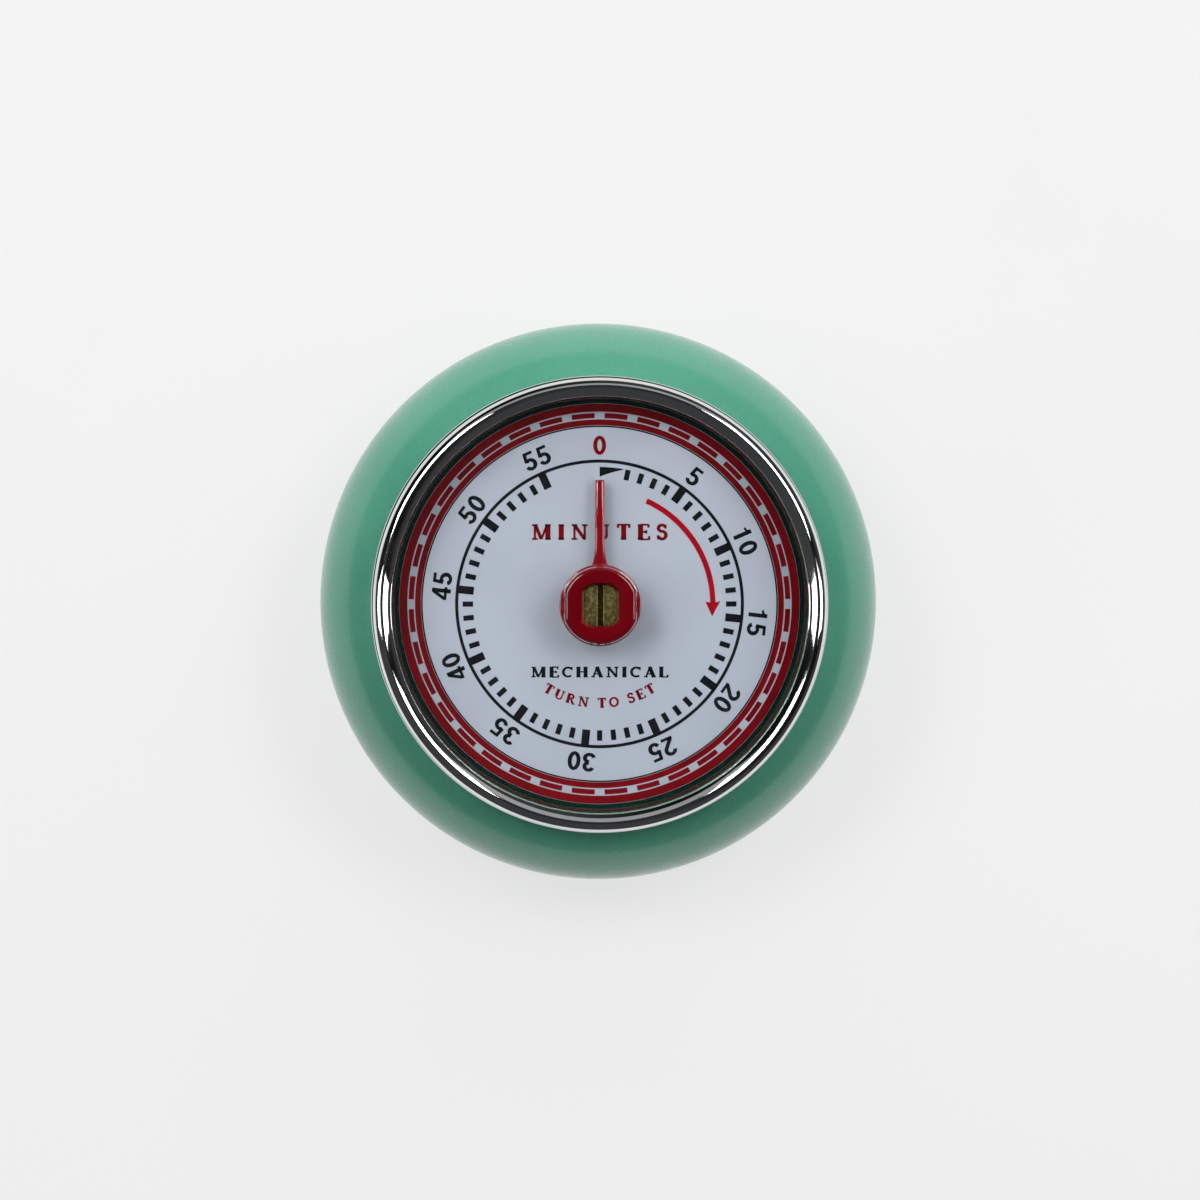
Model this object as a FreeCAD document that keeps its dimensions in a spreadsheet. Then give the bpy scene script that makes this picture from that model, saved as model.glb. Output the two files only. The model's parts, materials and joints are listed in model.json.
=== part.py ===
import FreeCAD, Part
import math
import os

import Sketcher

# A wind-up kitchen timer that lies on its back: +Z is the dial's normal, +Y points to zero on the dial,
# and z = 0 is the pole face of the magnet in the back. Millimetres.

DRIVING = {
    # case: a tyre-shaped pressed steel shell, closed by a moulded cover
    "case_radius": 37.5,
    "tyre_section": 13.9,
    "tyre_height": 14.9,
    "sheet_gauge": 0.7,
    "curl_height": 4.6,
    "neck_radius": 28.6,
    "neck_top": 29.4,
    "well_radius": 26.8,
    "well_mouth": 27.35,
    "seat_height": 24.7,
    "seat_bore": 24.5,
    "cover_wall": 1.6,
    # setting ring, lens and pointer
    "bezel_radius": 29.75,
    "bezel_bore": 29.05,
    "bezel_window": 27.3,
    "bezel_top": 32.3,
    "lens_gauge": 1.3,
    "lens_dome": 0.95,
    "lens_edge_top": 31.35,
    "pointer_reach": 16.4,
    "pointer_height": 26.2,
    "hub_radius": 5.35,
    "hub_top": 33.0,
    "spindle_radius": 2.85,
    "spindle_across_flats": 4.3,
    "spindle_length": 5.3,
    "spindle_top": 32.4,
    "spindle_slot": 0.8,
    # dial
    "dial_radius": 26.5,
    "dial_gauge": 0.4,
    # magnet
    "magnet_cup_radius": 12.4,
    "magnet_cup_depth": 2.6,
    # movement
    "plate_radius": 26.4,
    "plate_gauge": 1.2,
    "back_plate_height": 9.0,
    "front_plate_height": 20.8,
    "pillar_circle": 24.7,
    "boss_circle": 29.0,
    "lug_circle": 28.2,
    "arbor_radius": 0.6,
    "pivot_radius": 0.4,
    "running_gap": 0.05,
    "first_module": 0.32,
    "second_module": 0.28,
    "third_module": 0.26,
    "escape_radius": 5.0,
    "balance_radius": 5.6,
    "bell_radius": 15.0,
    "spring_outer_turn": 9.95,
    "cam_radius": 7.4,
}

WHEEL_TEETH = 70
PINION_LEAVES = 10
ESCAPE_TEETH = 15
ALARM_TEETH = 12
PROFILE_SHIFT = 0.45
PRESSURE_ANGLE = math.radians(20)
TOOTH_THINNING = 0.05
ADDENDUM = 0.85
DEDENDUM = 1.15
PRESS_FIT = 0.02
BRANCH_ANGLES = (90, 210, 330)
RIVET_CIRCLE = 6.0
SCREW_RADIUS = 1.0
SCREW_CLEARANCE = 1.15
SCREW_HEAD = 1.9

doc = FreeCAD.newDocument("kitchen_timer")
sheet = doc.addObject("Spreadsheet::Sheet", "sheet")
for row, (alias, number) in enumerate(DRIVING.items(), start=1):
    sheet.set(f"A{row}", alias)
    sheet.set(f"B{row}", str(number))
    sheet.setAlias(f"B{row}", alias)
doc.recompute()

nodes = {}


class Size:
    """A length: its value now, and the formula that ties it to the sheet."""

    def __init__(self, value, formula):
        self.value = value
        self.formula = formula

    def join(self, sign, other, value):
        right = other.formula if isinstance(other, Size) else str(other)
        return Size(value, f"({self.formula} {sign} {right})")

    def __add__(self, other):
        return self.join("+", other, self.value + plain(other))

    def __sub__(self, other):
        return self.join("-", other, self.value - plain(other))

    def __mul__(self, other):
        return self.join("*", other, self.value * plain(other))

    def __truediv__(self, other):
        return self.join("/", other, self.value / plain(other))


def plain(size):
    return size.value if isinstance(size, Size) else float(size)


def formula(size):
    return size.formula if isinstance(size, Size) else str(size)


def dim(alias):
    return Size(float(sheet.get(alias)), f"sheet.{alias}")


def root(size):
    return Size(math.sqrt(size.value), f"sqrt({size.formula})")


def bind(obj, **sizes):
    for name, size in sizes.items():
        setattr(obj, name, plain(size))
        obj.setExpression(name, formula(size))


def node(name, obj):
    """Names a finished piece; its label is also its file's name."""
    obj.Label = name
    nodes[name] = obj
    return obj


def polar(radius, angle):
    turn = math.radians(angle)
    return plain(radius) * math.cos(turn), plain(radius) * math.sin(turn)


def put(obj, at=(0, 0), z=0, angle=0):
    """Stands a piece at a place in plan and at a height, which stays tied to the sheet."""
    spin = FreeCAD.Rotation(FreeCAD.Vector(0, 0, 1), angle)
    obj.Placement = FreeCAD.Placement(FreeCAD.Vector(at[0], at[1], plain(z)), spin)
    if isinstance(z, Size):
        obj.setExpression("Placement.Base.z", z.formula)
    return obj


def cylinder(radius, z, height, at=(0, 0)):
    obj = doc.addObject("Part::Cylinder", "cylinder")
    bind(obj, Radius=radius, Height=height)
    return put(obj, at, z)


def cone(low_radius, high_radius, z, height, at=(0, 0)):
    obj = doc.addObject("Part::Cone", "cone")
    bind(obj, Radius1=low_radius, Radius2=high_radius, Height=height)
    return put(obj, at, z)


def block(length, width, z, height, centre=(0, 0), angle=0):
    """A box centred in plan on a point, and turned about it."""
    obj = doc.addObject("Part::Box", "block")
    bind(obj, Length=length, Width=width, Height=height)
    half_x, half_y = plain(length) / 2, plain(width) / 2
    turn = math.radians(angle)
    corner = (
        centre[0] - half_x * math.cos(turn) + half_y * math.sin(turn),
        centre[1] - half_x * math.sin(turn) - half_y * math.cos(turn),
    )
    return put(obj, corner, z, angle)


def fuse(*shapes):
    obj = doc.addObject("Part::MultiFuse", "fuse")
    obj.Shapes = list(shapes)
    return obj


def cut(base, *tools):
    obj = doc.addObject("Part::Cut", "cut")
    obj.Base = base
    obj.Tool = tools[0] if len(tools) == 1 else fuse(*tools)
    return obj


def group(*shapes):
    obj = doc.addObject("Part::Compound", "group")
    obj.Links = list(shapes)
    return obj


def tube(outer, inner, z, height, at=(0, 0)):
    return cut(cylinder(outer, z, height, at), cylinder(inner, z, height, at))


def link(start, end, width, z, height):
    """A flat bar with round ends between two points in plan."""
    run = math.dist(start, end)
    middle = ((start[0] + end[0]) / 2, (start[1] + end[1]) / 2)
    angle = math.degrees(math.atan2(end[1] - start[1], end[0] - start[0]))
    ends = [cylinder(width / 2, z, height, point) for point in (start, end)]
    return fuse(block(run, width, z, height, middle, angle), *ends)


def arc_centre(start, end, radius):
    """The centre of an arc that runs anticlockwise for a positive radius."""
    chord = math.dist(start, end)
    rise = math.sqrt(radius * radius - chord * chord / 4)
    side = 1 if radius > 0 else -1
    across = (-(end[1] - start[1]) / chord, (end[0] - start[0]) / chord)
    return (
        (start[0] + end[0]) / 2 + side * rise * across[0],
        (start[1] + end[1]) / 2 + side * rise * across[1],
    )


def add_edge(sketch, start, end, radius):
    """Adds one profile edge and returns (its number, its start's point, its end's point)."""
    if not radius:
        line = Part.LineSegment(FreeCAD.Vector(*start, 0), FreeCAD.Vector(*end, 0))
        return sketch.addGeometry(line, False), 1, 2
    centre = arc_centre(start, end, plain(radius))
    if plain(radius) < 0:
        start, end = end, start
    angles = [math.atan2(p[1] - centre[1], p[0] - centre[0]) for p in (start, end)]
    circle = Part.Circle(
        FreeCAD.Vector(*centre, 0), FreeCAD.Vector(0, 0, 1), abs(plain(radius))
    )
    number = sketch.addGeometry(Part.ArcOfCircle(circle, *angles), False)
    return (number, 2, 1) if plain(radius) < 0 else (number, 1, 2)


def hold(sketch, kind, number, point, size):
    """Holds a point at a distance from the sketch's origin, tied to the sheet."""
    if abs(plain(size)) < 1e-9:
        axis = -2 if kind == "DistanceX" else -1
        sketch.addConstraint(Sketcher.Constraint("PointOnObject", number, point, axis))
        return
    made = sketch.addConstraint(
        Sketcher.Constraint(kind, -1, 1, number, point, plain(size))
    )
    sketch.setExpression(f"Constraints[{made}]", formula(size))


def turned(profile):
    """A body of revolution about Z. Each profile entry is (radius, height), or with a third value,
    the radius of the arc that reaches it, which is negative for a clockwise arc."""
    body = doc.addObject("PartDesign::Body", "turned")
    sketch = body.newObject("Sketcher::SketchObject", "profile")
    plane = next(f for f in body.Origin.OriginFeatures if f.Role == "XZ_Plane")
    sketch.AttachmentSupport = [(plane, "")]
    sketch.MapMode = "FlatFace"
    points = [(plain(entry[0]), plain(entry[1])) for entry in profile]
    edges = []
    for number, entry in enumerate(profile):
        radius = entry[2] if len(entry) > 2 else None
        edges.append(add_edge(sketch, points[number - 1], points[number], radius))
    for number, entry in enumerate(profile):
        edge, _, end = edges[number]
        following, start, _ = edges[(number + 1) % len(edges)]
        sketch.addConstraint(
            Sketcher.Constraint("Coincident", edge, end, following, start)
        )
        hold(sketch, "DistanceX", edge, end, entry[0])
        hold(sketch, "DistanceY", edge, end, entry[1])
        if len(entry) > 2:
            size = entry[2] if plain(entry[2]) > 0 else entry[2] * -1
            made = sketch.addConstraint(Sketcher.Constraint("Radius", edge, plain(size)))
            sketch.setExpression(f"Constraints[{made}]", formula(size))
    spin = body.newObject("PartDesign::Revolution", "spin")
    spin.Profile = sketch
    spin.ReferenceAxis = (sketch, ["V_Axis"])
    spin.Angle = 360
    body.Tip = spin
    return body


def shaped(shape):
    """A piece whose outline is worked out by a formula from the sheet's values."""
    obj = doc.addObject("Part::Feature", "shaped")
    obj.Shape = shape
    return obj


def involute(angle):
    return math.tan(angle) - angle


def gear_outline(module, teeth, shift, turn):
    """The outline of a spur gear with involute flanks, with a tooth centred on the angle turn."""
    pitch = module * teeth / 2
    base = pitch * math.cos(PRESSURE_ANGLE)
    foot = pitch - module * (DEDENDUM - shift)
    tip = pitch + module * (ADDENDUM + shift)
    thickness = module * (math.pi / 2 + 2 * shift * math.tan(PRESSURE_ANGLE))
    half = (thickness - TOOTH_THINNING) / (2 * pitch) + involute(PRESSURE_ANGLE)

    def half_angle(radius):
        return half - involute(math.acos(min(1, base / radius)))

    lowest = max(base, foot)
    steps = 4
    flank = [lowest + (tip - lowest) * i / steps for i in range(steps + 1)]
    side = [(radius, half_angle(radius)) for radius in flank]
    if foot < base:
        side.insert(0, (foot, half_angle(base)))
    points = []
    for tooth in range(teeth):
        middle = math.radians(turn) + 2 * math.pi * tooth / teeth
        for radius, angle in [(r, -a) for r, a in side] + side[::-1]:
            points.append(
                FreeCAD.Vector(
                    radius * math.cos(middle + angle), radius * math.sin(middle + angle), 0
                )
            )
    return points


def star_outline(tip, foot, teeth, lean, turn):
    """The outline of a wheel with pointed teeth whose tips lean forward by part of a pitch."""
    points = []
    pitch = 2 * math.pi / teeth
    for tooth in range(teeth):
        start = math.radians(turn) + tooth * pitch
        for radius, share in ((foot, 0), (tip, lean - 0.04), (tip, lean + 0.04), (foot, 0.62)):
            angle = start + share * pitch
            points.append(
                FreeCAD.Vector(radius * math.cos(angle), radius * math.sin(angle), 0)
            )
    return points


def prism(points, height, bore=0, windows=()):
    """A flat wheel blank: an outline pushed up by height, less a bore and windows cut through it."""
    outline = Part.makePolygon(points + [points[0]])
    solid = Part.Face(outline).extrude(FreeCAD.Vector(0, 0, height))
    tools = list(windows)
    if bore:
        tools.append(Part.makeCylinder(bore, height))
    return solid.cut(tools) if tools else solid


def sector_window(inner, outer, height, middle, spread):
    """A window between two circles, as wide as spread degrees."""
    ring = Part.makeCylinder(
        outer, height, FreeCAD.Vector(), FreeCAD.Vector(0, 0, 1), spread
    )
    ring = ring.cut(Part.makeCylinder(inner, height))
    ring.rotate(FreeCAD.Vector(), FreeCAD.Vector(0, 0, 1), middle - spread / 2)
    return ring


def spoked_wheel(module, turn, height, bore):
    """A brass wheel with four windows between its spokes."""
    points = gear_outline(module, WHEEL_TEETH, -PROFILE_SHIFT, turn)
    rim = module * WHEEL_TEETH / 2 - 5 * module
    windows = [sector_window(rim * 0.36, rim, height, 45 + 90 * i, 66) for i in range(4)]
    return shaped(prism(points, height, bore, windows))


def pinion_arbor(module, turn, leaves_z, leaves_height, low, high):
    """A steel pinion cut in one with its arbor, which ends in two pivots."""
    arbor, pivot = plain(dim("arbor_radius")), plain(dim("pivot_radius"))
    leaves = prism(
        gear_outline(module, PINION_LEAVES, PROFILE_SHIFT, turn), leaves_height
    )
    leaves.translate(FreeCAD.Vector(0, 0, leaves_z))
    gauge = plain(dim("plate_gauge"))
    shaft = Part.makeCylinder(arbor, high - low, FreeCAD.Vector(0, 0, low))
    pins = Part.makeCylinder(
        pivot, high - low + 2 * gauge, FreeCAD.Vector(0, 0, low - gauge)
    )
    return shaped(leaves.multiFuse([shaft, pins]))


def spiral(inner, outer, turns, ribbon, height, start, tail=None):
    """A flat spiral spring that starts at an angle in degrees, with an optional straight tail."""
    count = int(turns * 24)
    middle = []
    for i in range(count + 1):
        angle = math.radians(start) + 2 * math.pi * turns * i / count
        radius = inner + (outer - inner) * i / count
        middle.append((radius * math.cos(angle), radius * math.sin(angle)))
    if tail:
        middle.append(tail)
    sides = {1: [], -1: []}
    for i, (x, y) in enumerate(middle):
        before, after = middle[max(i - 1, 0)], middle[min(i + 1, len(middle) - 1)]
        run = math.dist(before, after)
        across = (-(after[1] - before[1]) / run, (after[0] - before[0]) / run)
        for side in sides:
            offset = side * ribbon / 2
            sides[side].append(
                FreeCAD.Vector(x + offset * across[0], y + offset * across[1], 0)
            )
    return shaped(prism(sides[1] + sides[-1][::-1], height))


def crossing(first, first_radius, second, second_radius, side):
    """Where two circles in plan cross, on the left (1) or right (-1) of the line between them."""
    run = math.dist(first, second)
    along = (first_radius**2 - second_radius**2 + run**2) / (2 * run)
    rise = side * math.sqrt(first_radius**2 - along**2)
    unit = ((second[0] - first[0]) / run, (second[1] - first[1]) / run)
    return (
        first[0] + along * unit[0] - rise * unit[1],
        first[1] + along * unit[1] + rise * unit[0],
    )


def bearing(start, end):
    return math.degrees(math.atan2(end[1] - start[1], end[0] - start[0]))


def past(start, angle, distance):
    step = polar(distance, angle)
    return start[0] + step[0], start[1] + step[1]


# --- where the movement's arbors stand, in plan ---

MESH = (WHEEL_TEETH + PINION_LEAVES) / 2
LEAF = 360 / PINION_LEAVES
FIRST_REACH = MESH * plain(dim("first_module"))
SECOND_REACH = MESH * plain(dim("second_module"))
THIRD_REACH = MESH * plain(dim("third_module"))
centre = (0.0, 0.0)
second_bearing = 150
second = polar(FIRST_REACH, second_bearing)
alarm_bearing = second_bearing - 23 * 360 / WHEEL_TEETH
alarm = polar(FIRST_REACH, alarm_bearing)
third = crossing(centre, 13.5, second, SECOND_REACH, 1)
escape = crossing(centre, 16.0, third, THIRD_REACH, 1)
pallet_reach = 6.6
balance = crossing(centre, 17.5, escape, 2 * pallet_reach, 1)
pallet = ((escape[0] + balance[0]) / 2, (escape[1] + balance[1]) / 2)
hammer = crossing(centre, 19.5, alarm, 8.0, -1)
control = polar(15.5, 110)

gap = dim("running_gap")
gauge = dim("plate_gauge")
back_low = dim("back_plate_height")
back_top = back_low + gauge
front_low = dim("front_plate_height")
front_top = front_low + gauge
dial_top = dim("seat_height") + dim("dial_gauge")
boss_places = [polar(dim("boss_circle"), angle) for angle in BRANCH_ANGLES]
rivet_places = [polar(RIVET_CIRCLE, angle) for angle in BRANCH_ANGLES]
lug_angles = (30, 150, 270)
lug_places = [polar(dim("lug_circle"), angle) for angle in lug_angles]
pillar_places = [polar(dim("pillar_circle"), angle) for angle in (45, 135, 225, 315)]
dial_feet_places = [polar(20.0, angle) for angle in (62, 242)]
spring_stud_place = past(balance, 330, 6.6)
spring_start = 20
mainspring_stud_place = polar(dim("spring_outer_turn"), spring_start)
cam_nose_place = polar(plain(dim("cam_radius")) + 0.75, 60)
lever_elbow = (2.0, 10.9)
lever_spring_place = (-1.2, 18.6)

# --- how high the movement's layers stand ---

HAMMER_LEVEL = 7.5
ESCAPE_LEVEL = 11.2
ROLLER_LEVEL = 12.45
BALANCE_LEVEL = 12.9
HAIRSPRING_LEVEL = 13.9
FIRST_LEVEL = 13.7
SECOND_LEVEL = 15.8
ALARM_LEVEL = 16.3
THIRD_LEVEL = 17.6
BELL_LOW = 5.2


# --- case ---


def on_tyre(radius, section, side):
    """The height of the tyre's surface at a radius: side is 1 above its middle and -1 below."""
    across = dim("case_radius") - dim("tyre_section")
    reach = radius - across
    rise = root(section * section - reach * reach)
    return dim("tyre_height") + rise if side > 0 else dim("tyre_height") - rise


def tyre_radius(height, section):
    """The radius of the tyre's surface at a height below its middle."""
    drop = dim("tyre_height") - height
    return dim("case_radius") - dim("tyre_section") + root(section * section - drop * drop)


def case_shell():
    """Pressed steel: a tyre with a rolled neck, and a well whose floor is the dial's seat."""
    outer = dim("tyre_section")
    inner = outer - dim("sheet_gauge")
    neck = dim("neck_radius")
    top = dim("neck_top")
    curl = dim("curl_height")
    seat = dim("seat_height")
    hem = neck - dim("sheet_gauge")
    profile = [
        (tyre_radius(curl, outer), curl),
        (neck, on_tyre(neck, outer, 1), outer),
        (neck, top - 0.35),
        (neck + 0.25, top - 0.3),
        (neck + 0.25, top - 0.1),
        (neck + 0.1, top),
        (dim("well_mouth") + 0.15, top),
        (dim("well_mouth"), top - 0.15),
        (dim("well_radius"), seat),
        (dim("seat_bore"), seat),
        (dim("seat_bore"), seat - dim("sheet_gauge")),
        (dim("well_radius") + dim("sheet_gauge"), seat - dim("sheet_gauge")),
        (hem, on_tyre(hem, inner, 1)),
        (tyre_radius(curl, inner), curl, inner * -1),
    ]
    return node("case_shell", turned(profile))


def cover_profile():
    outer = dim("tyre_section")
    inner = outer - dim("cover_wall")
    rim = dim("curl_height") - 0.1
    across = dim("case_radius") - outer
    recess = dim("magnet_cup_radius") + 0.15
    floor = dim("magnet_cup_depth") + 0.05
    back = dim("tyre_height") - outer
    spigot = tyre_radius(dim("curl_height"), outer - dim("sheet_gauge")) - 0.25
    return [
        (recess, floor),
        (recess, back),
        (across, back),
        (tyre_radius(rim, outer), rim, outer),
        (spigot, rim),
        (spigot, rim + 2),
        (spigot - 1.4, rim + 2),
        (spigot - 1.4, on_tyre(spigot - 1.4, inner, -1)),
        (across, back + dim("cover_wall"), inner * -1),
        (recess + 1.3, back + dim("cover_wall")),
        (recess + 1.3, floor + 1),
        (1.55, floor + 1),
        (1.55, floor),
    ]


SCREW_SEAT = 5.9


def back_cover():
    """Moulded cover with a recess for the magnet and three deep screw sockets."""
    socket_top = 7.4
    socket_low = 4.3
    socket_bore = SCREW_HEAD + 0.15
    sockets = [
        cylinder(socket_bore + 0.55, socket_low, socket_top - socket_low, place)
        for place in boss_places
    ]
    heads = [cylinder(socket_bore, 0.5, SCREW_SEAT - 0.5, place) for place in boss_places]
    holes = [cylinder(SCREW_CLEARANCE, SCREW_SEAT - 0.4, 4, place) for place in boss_places]
    return node("back_cover", cut(fuse(turned(cover_profile()), *sockets), *heads, *holes))


def screw(place, seat, head_radius, head_height, shank_radius, length):
    """A cross-slotted screw that points up, with its head below its seat."""
    body = fuse(
        cylinder(head_radius, seat - head_height, head_height, place),
        cylinder(shank_radius, seat, length, place),
    )
    cross = [
        block(head_radius * 1.3, 0.5, seat - head_height, 0.4, place, angle)
        for angle in (0, 90)
    ]
    return cut(body, *cross)


def cover_screws():
    screws = [screw(place, SCREW_SEAT, SCREW_HEAD, 1.4, SCREW_RADIUS, 11.0) for place in boss_places]
    return node("cover_screws", group(*screws))


def mount_ring():
    """Moulded ring under the dial's seat: the cover's screws and the movement's hang on it."""
    top = dim("seat_height") - dim("sheet_gauge")
    leg_low = 7.5
    thread = SCREW_RADIUS + 0.03
    band = tube(dim("boss_circle") + 2, dim("seat_bore") + 0.2, front_top, top - front_top)
    legs = [cylinder(2.3, leg_low, front_top - leg_low, place) for place in boss_places]
    long_holes = [cylinder(thread, leg_low - 0.5, 10.5, place) for place in boss_places]
    short_holes = [cylinder(thread, front_top - 0.5, 2.1, place) for place in lug_places]
    return node("mount_ring", cut(fuse(band, *legs), *long_holes, *short_holes))


def magnet():
    """A steel pot with a ferrite ring, held to the cover by a rivet."""
    radius = dim("magnet_cup_radius")
    depth = dim("magnet_cup_depth")
    pot = cut(
        cylinder(radius, 0, depth),
        cylinder(radius - 0.8, -0.5, depth - 0.3),
        cylinder(1.55, 0, depth),
    )
    node("magnet_cup", pot)
    node("magnet_ring", tube(radius - 1.0, 3.4, 0.1, depth - 0.95))
    rivet = fuse(
        cylinder(2.8, depth - 1.5, 0.7),
        cylinder(1.5, depth - 0.8, 1.9),
        cylinder(2.3, depth + 1.05, 0.35),
    )
    node("magnet_rivet", rivet)


# --- dial ---


def dial():
    """A flat disc on the well's floor, with two feet that pass through the front plate."""
    disc = tube(dim("dial_radius"), 3.4, dim("seat_height"), dim("dial_gauge"))
    node("dial", disc)
    feet = [
        cylinder(0.6, front_low, dim("seat_height") - front_low, place)
        for place in dial_feet_places
    ]
    node("dial_feet", group(*feet))


# --- setting ring, lens and pointer ---


def bezel():
    """Chromed ring: a foot over the shell's neck, a domed crown and a groove for its wire."""
    bore = dim("bezel_bore")
    outer = dim("bezel_radius")
    top = dim("bezel_top")
    window = dim("bezel_window")
    lip = dim("lens_edge_top") + 0.15
    foot = on_tyre(bore, dim("tyre_section"), 1) + 0.26
    wire = dim("neck_top") - 0.65
    profile = [
        (bore, foot),
        (outer + 0.35, foot - 0.45),
        (outer + 0.35, foot - 0.1),
        (outer + 0.1, foot + 0.1),
        (outer, top - 1.3),
        (outer - 1.3, top, Size(1.3, "1.3")),
        (window + 0.15, top - 0.5, Size(3.0, "3")),
        (window, top - 0.65),
        (window, lip),
        (bore, lip),
        (bore, wire + 0.28),
        (bore + 0.25, wire + 0.28),
        (bore + 0.25, wire - 0.28),
        (bore, wire - 0.28),
    ]
    return node("bezel", turned(profile))


def bezel_wire():
    """A split ring of spring wire that keeps the bezel under the neck's bead."""
    ring = doc.addObject("Part::Torus", "ring")
    bind(ring, Radius1=dim("bezel_bore") - 0.02, Radius2=0.24)
    ring.Angle3 = 346
    return node("bezel_wire", put(ring, z=dim("neck_top") - 0.65, angle=97))


def lens_profile(bore):
    """A domed disc of even thickness, with a hole of the given radius."""
    edge = dim("bezel_bore") - 0.1
    top = dim("lens_edge_top")
    dome = dim("lens_dome")
    sphere = (edge * edge + dome * dome) / (dome * 2)

    def surface(radius):
        return top + dome - sphere + root(sphere * sphere - radius * radius)

    gauge_now = dim("lens_gauge")
    return [
        (bore, surface(bore) - gauge_now),
        (edge, top - gauge_now, sphere * -1),
        (edge, top),
        (bore, surface(bore), sphere),
    ]


def double_d(radius, half_flats, z, height, half_length=None):
    """A round bar with flats on its left and its right, and on its ends if half_length is given."""
    whole = cylinder(radius, z, height)
    length = half_length * 2 if half_length else radius * 2 + 1
    bar = block(half_flats * 2, length, z, height)
    both = doc.addObject("Part::MultiCommon", "double_d")
    both.Shapes = [whole, bar]
    return both


def lens():
    """Clear lens whose middle hole has the hub's two flats."""
    hub = dim("hub_radius")
    blank = turned(lens_profile(hub - 2))
    hole = double_d(hub - 0.3, hub - 0.65, dim("seat_height"), 10)
    return node("lens", cut(blank, hole))


def lens_ring():
    """A thin ring pressed into the bezel under the lens."""
    bore = dim("bezel_bore")
    low = dim("neck_top") + 0.25
    height = dim("lens_edge_top") - dim("lens_gauge") - low - 0.02
    return node("lens_retaining_ring", tube(bore - 0.02, bore - 1.35, low, height))


def pointer():
    """Hub and pointer in one moulding: barrel, flange under the lens, and a keyed boss through it."""
    hub = dim("hub_radius")
    low = dim("pointer_height") - 0.3
    flange_top = dim("lens_edge_top") + dim("lens_dome") - dim("lens_gauge") - 0.1
    barrel = cylinder(hub - 0.9, low, flange_top - low)
    flange = cylinder(hub, flange_top - 1.3, 1.3)
    boss = double_d(hub - 0.35, hub - 0.7, flange_top, dim("hub_top") - flange_top)
    arm = pointer_arm()
    fit = 0.06
    hole = double_d(
        dim("spindle_radius") + fit,
        dim("spindle_across_flats") / 2 + fit,
        low - 1,
        dim("hub_top") - low + 2,
        dim("spindle_length") / 2 + fit,
    )
    return node("pointer", cut(fuse(barrel, flange, boss, arm), hole))


def pointer_arm():
    """An arm towards zero with a square tip, which flares where it meets the hub."""
    reach = dim("pointer_reach")
    body = doc.addObject("PartDesign::Body", "arm")
    sketch = body.newObject("Sketcher::SketchObject", "arm_outline")
    plane = next(f for f in body.Origin.OriginFeatures if f.Role == "XY_Plane")
    sketch.AttachmentSupport = [(plane, "")]
    sketch.MapMode = "FlatFace"
    right = [(1.5, 3.8), (1.15, 5.4), (0.8, 6.6), (0.65, 8.2), (0.6, reach)]
    corners = right + [(-x, y) for x, y in reversed(right)]
    places = [(plain(x), plain(y)) for x, y in corners]
    for number, place in enumerate(places):
        add_edge(sketch, places[number - 1], place, None)
    for number, (x, y) in enumerate(corners):
        following = (number + 1) % len(corners)
        sketch.addConstraint(Sketcher.Constraint("Coincident", number, 2, following, 1))
        hold(sketch, "DistanceX", number, 2, x)
        hold(sketch, "DistanceY", number, 2, y)
    pad = body.newObject("PartDesign::Pad", "arm_pad")
    pad.Profile = sketch
    pad.Length = 1.2
    body.Tip = pad
    return put(body, z=dim("pointer_height"))


def spindle():
    """Brass spindle: keyed and split at the top, then the journal, the seats and the spring's core."""
    radius = dim("spindle_radius")
    flats = dim("spindle_across_flats") / 2
    length = dim("spindle_length") / 2
    keyed_low = dial_top + 0.6
    top = dim("spindle_top")
    journal_low = front_low - 0.5
    solid = fuse(
        cylinder(1.5, back_low, gauge + 0.2),
        cylinder(2.6, back_top + 0.2, 3.6),
        cylinder(2.2, back_top + 3.8, 2.0),
        cylinder(2.0, back_top + 5.8, journal_low - back_top - 5.8),
        cylinder(radius + 0.05, journal_low, keyed_low - journal_low),
        double_d(radius, flats, keyed_low, top - keyed_low, length),
    )
    slot = block(dim("spindle_slot"), radius * 2 + 1, keyed_low + 1.5, top - keyed_low)
    clip_groove = tube(3.0, 1.7, back_top + 6.0, 0.45)
    return node("spindle", cut(solid, slot, clip_groove))


def spindle_bush():
    """A flanged sleeve in the front plate that carries the spindle's journal."""
    radius = dim("spindle_radius") + 0.05 + gap
    sleeve = fuse(cylinder(4.0, front_low, gauge), cylinder(5.2, front_top, 0.8))
    neck = cylinder(3.9, front_top + 0.8, 1.4)
    return node("spindle_bush", cut(fuse(sleeve, neck), cylinder(radius, front_low, 5)))


def mainspring():
    """Eleven turns of flat steel ribbon from the spindle's core out to a stud."""
    ribbon = 0.22
    core = 2.6 + ribbon / 2 + 0.07
    outer = plain(dim("spring_outer_turn")) - 0.65
    coil = spiral(core, outer, 11, ribbon, 3.0, spring_start)
    return node("mainspring", put(coil, z=back_top + 0.4))


def spring_hook():
    """A stud in the back plate that holds the mainspring's outer end."""
    stud = cylinder(0.5, back_low, gauge + 3.4, mainspring_stud_place)
    return node("mainspring_stud", stud)


def timing_cam():
    """A round cam with one notch, which meets the control lever at zero."""
    z = front_low - 1.6
    thickness = 0.8
    bore = 2.03
    radius = dim("cam_radius")
    disc = tube(radius, bore, z, thickness)
    notch_angle = bearing(centre, cam_nose_place) - 14
    notch = block(2.0, 1.6, z - 0.1, 1.0, polar(plain(radius) - 0.2, notch_angle), notch_angle)
    hub = tube(3.2, bore, z - 0.45, 0.45)
    return node("timing_cam", cut(fuse(disc, hub), notch))


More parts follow.
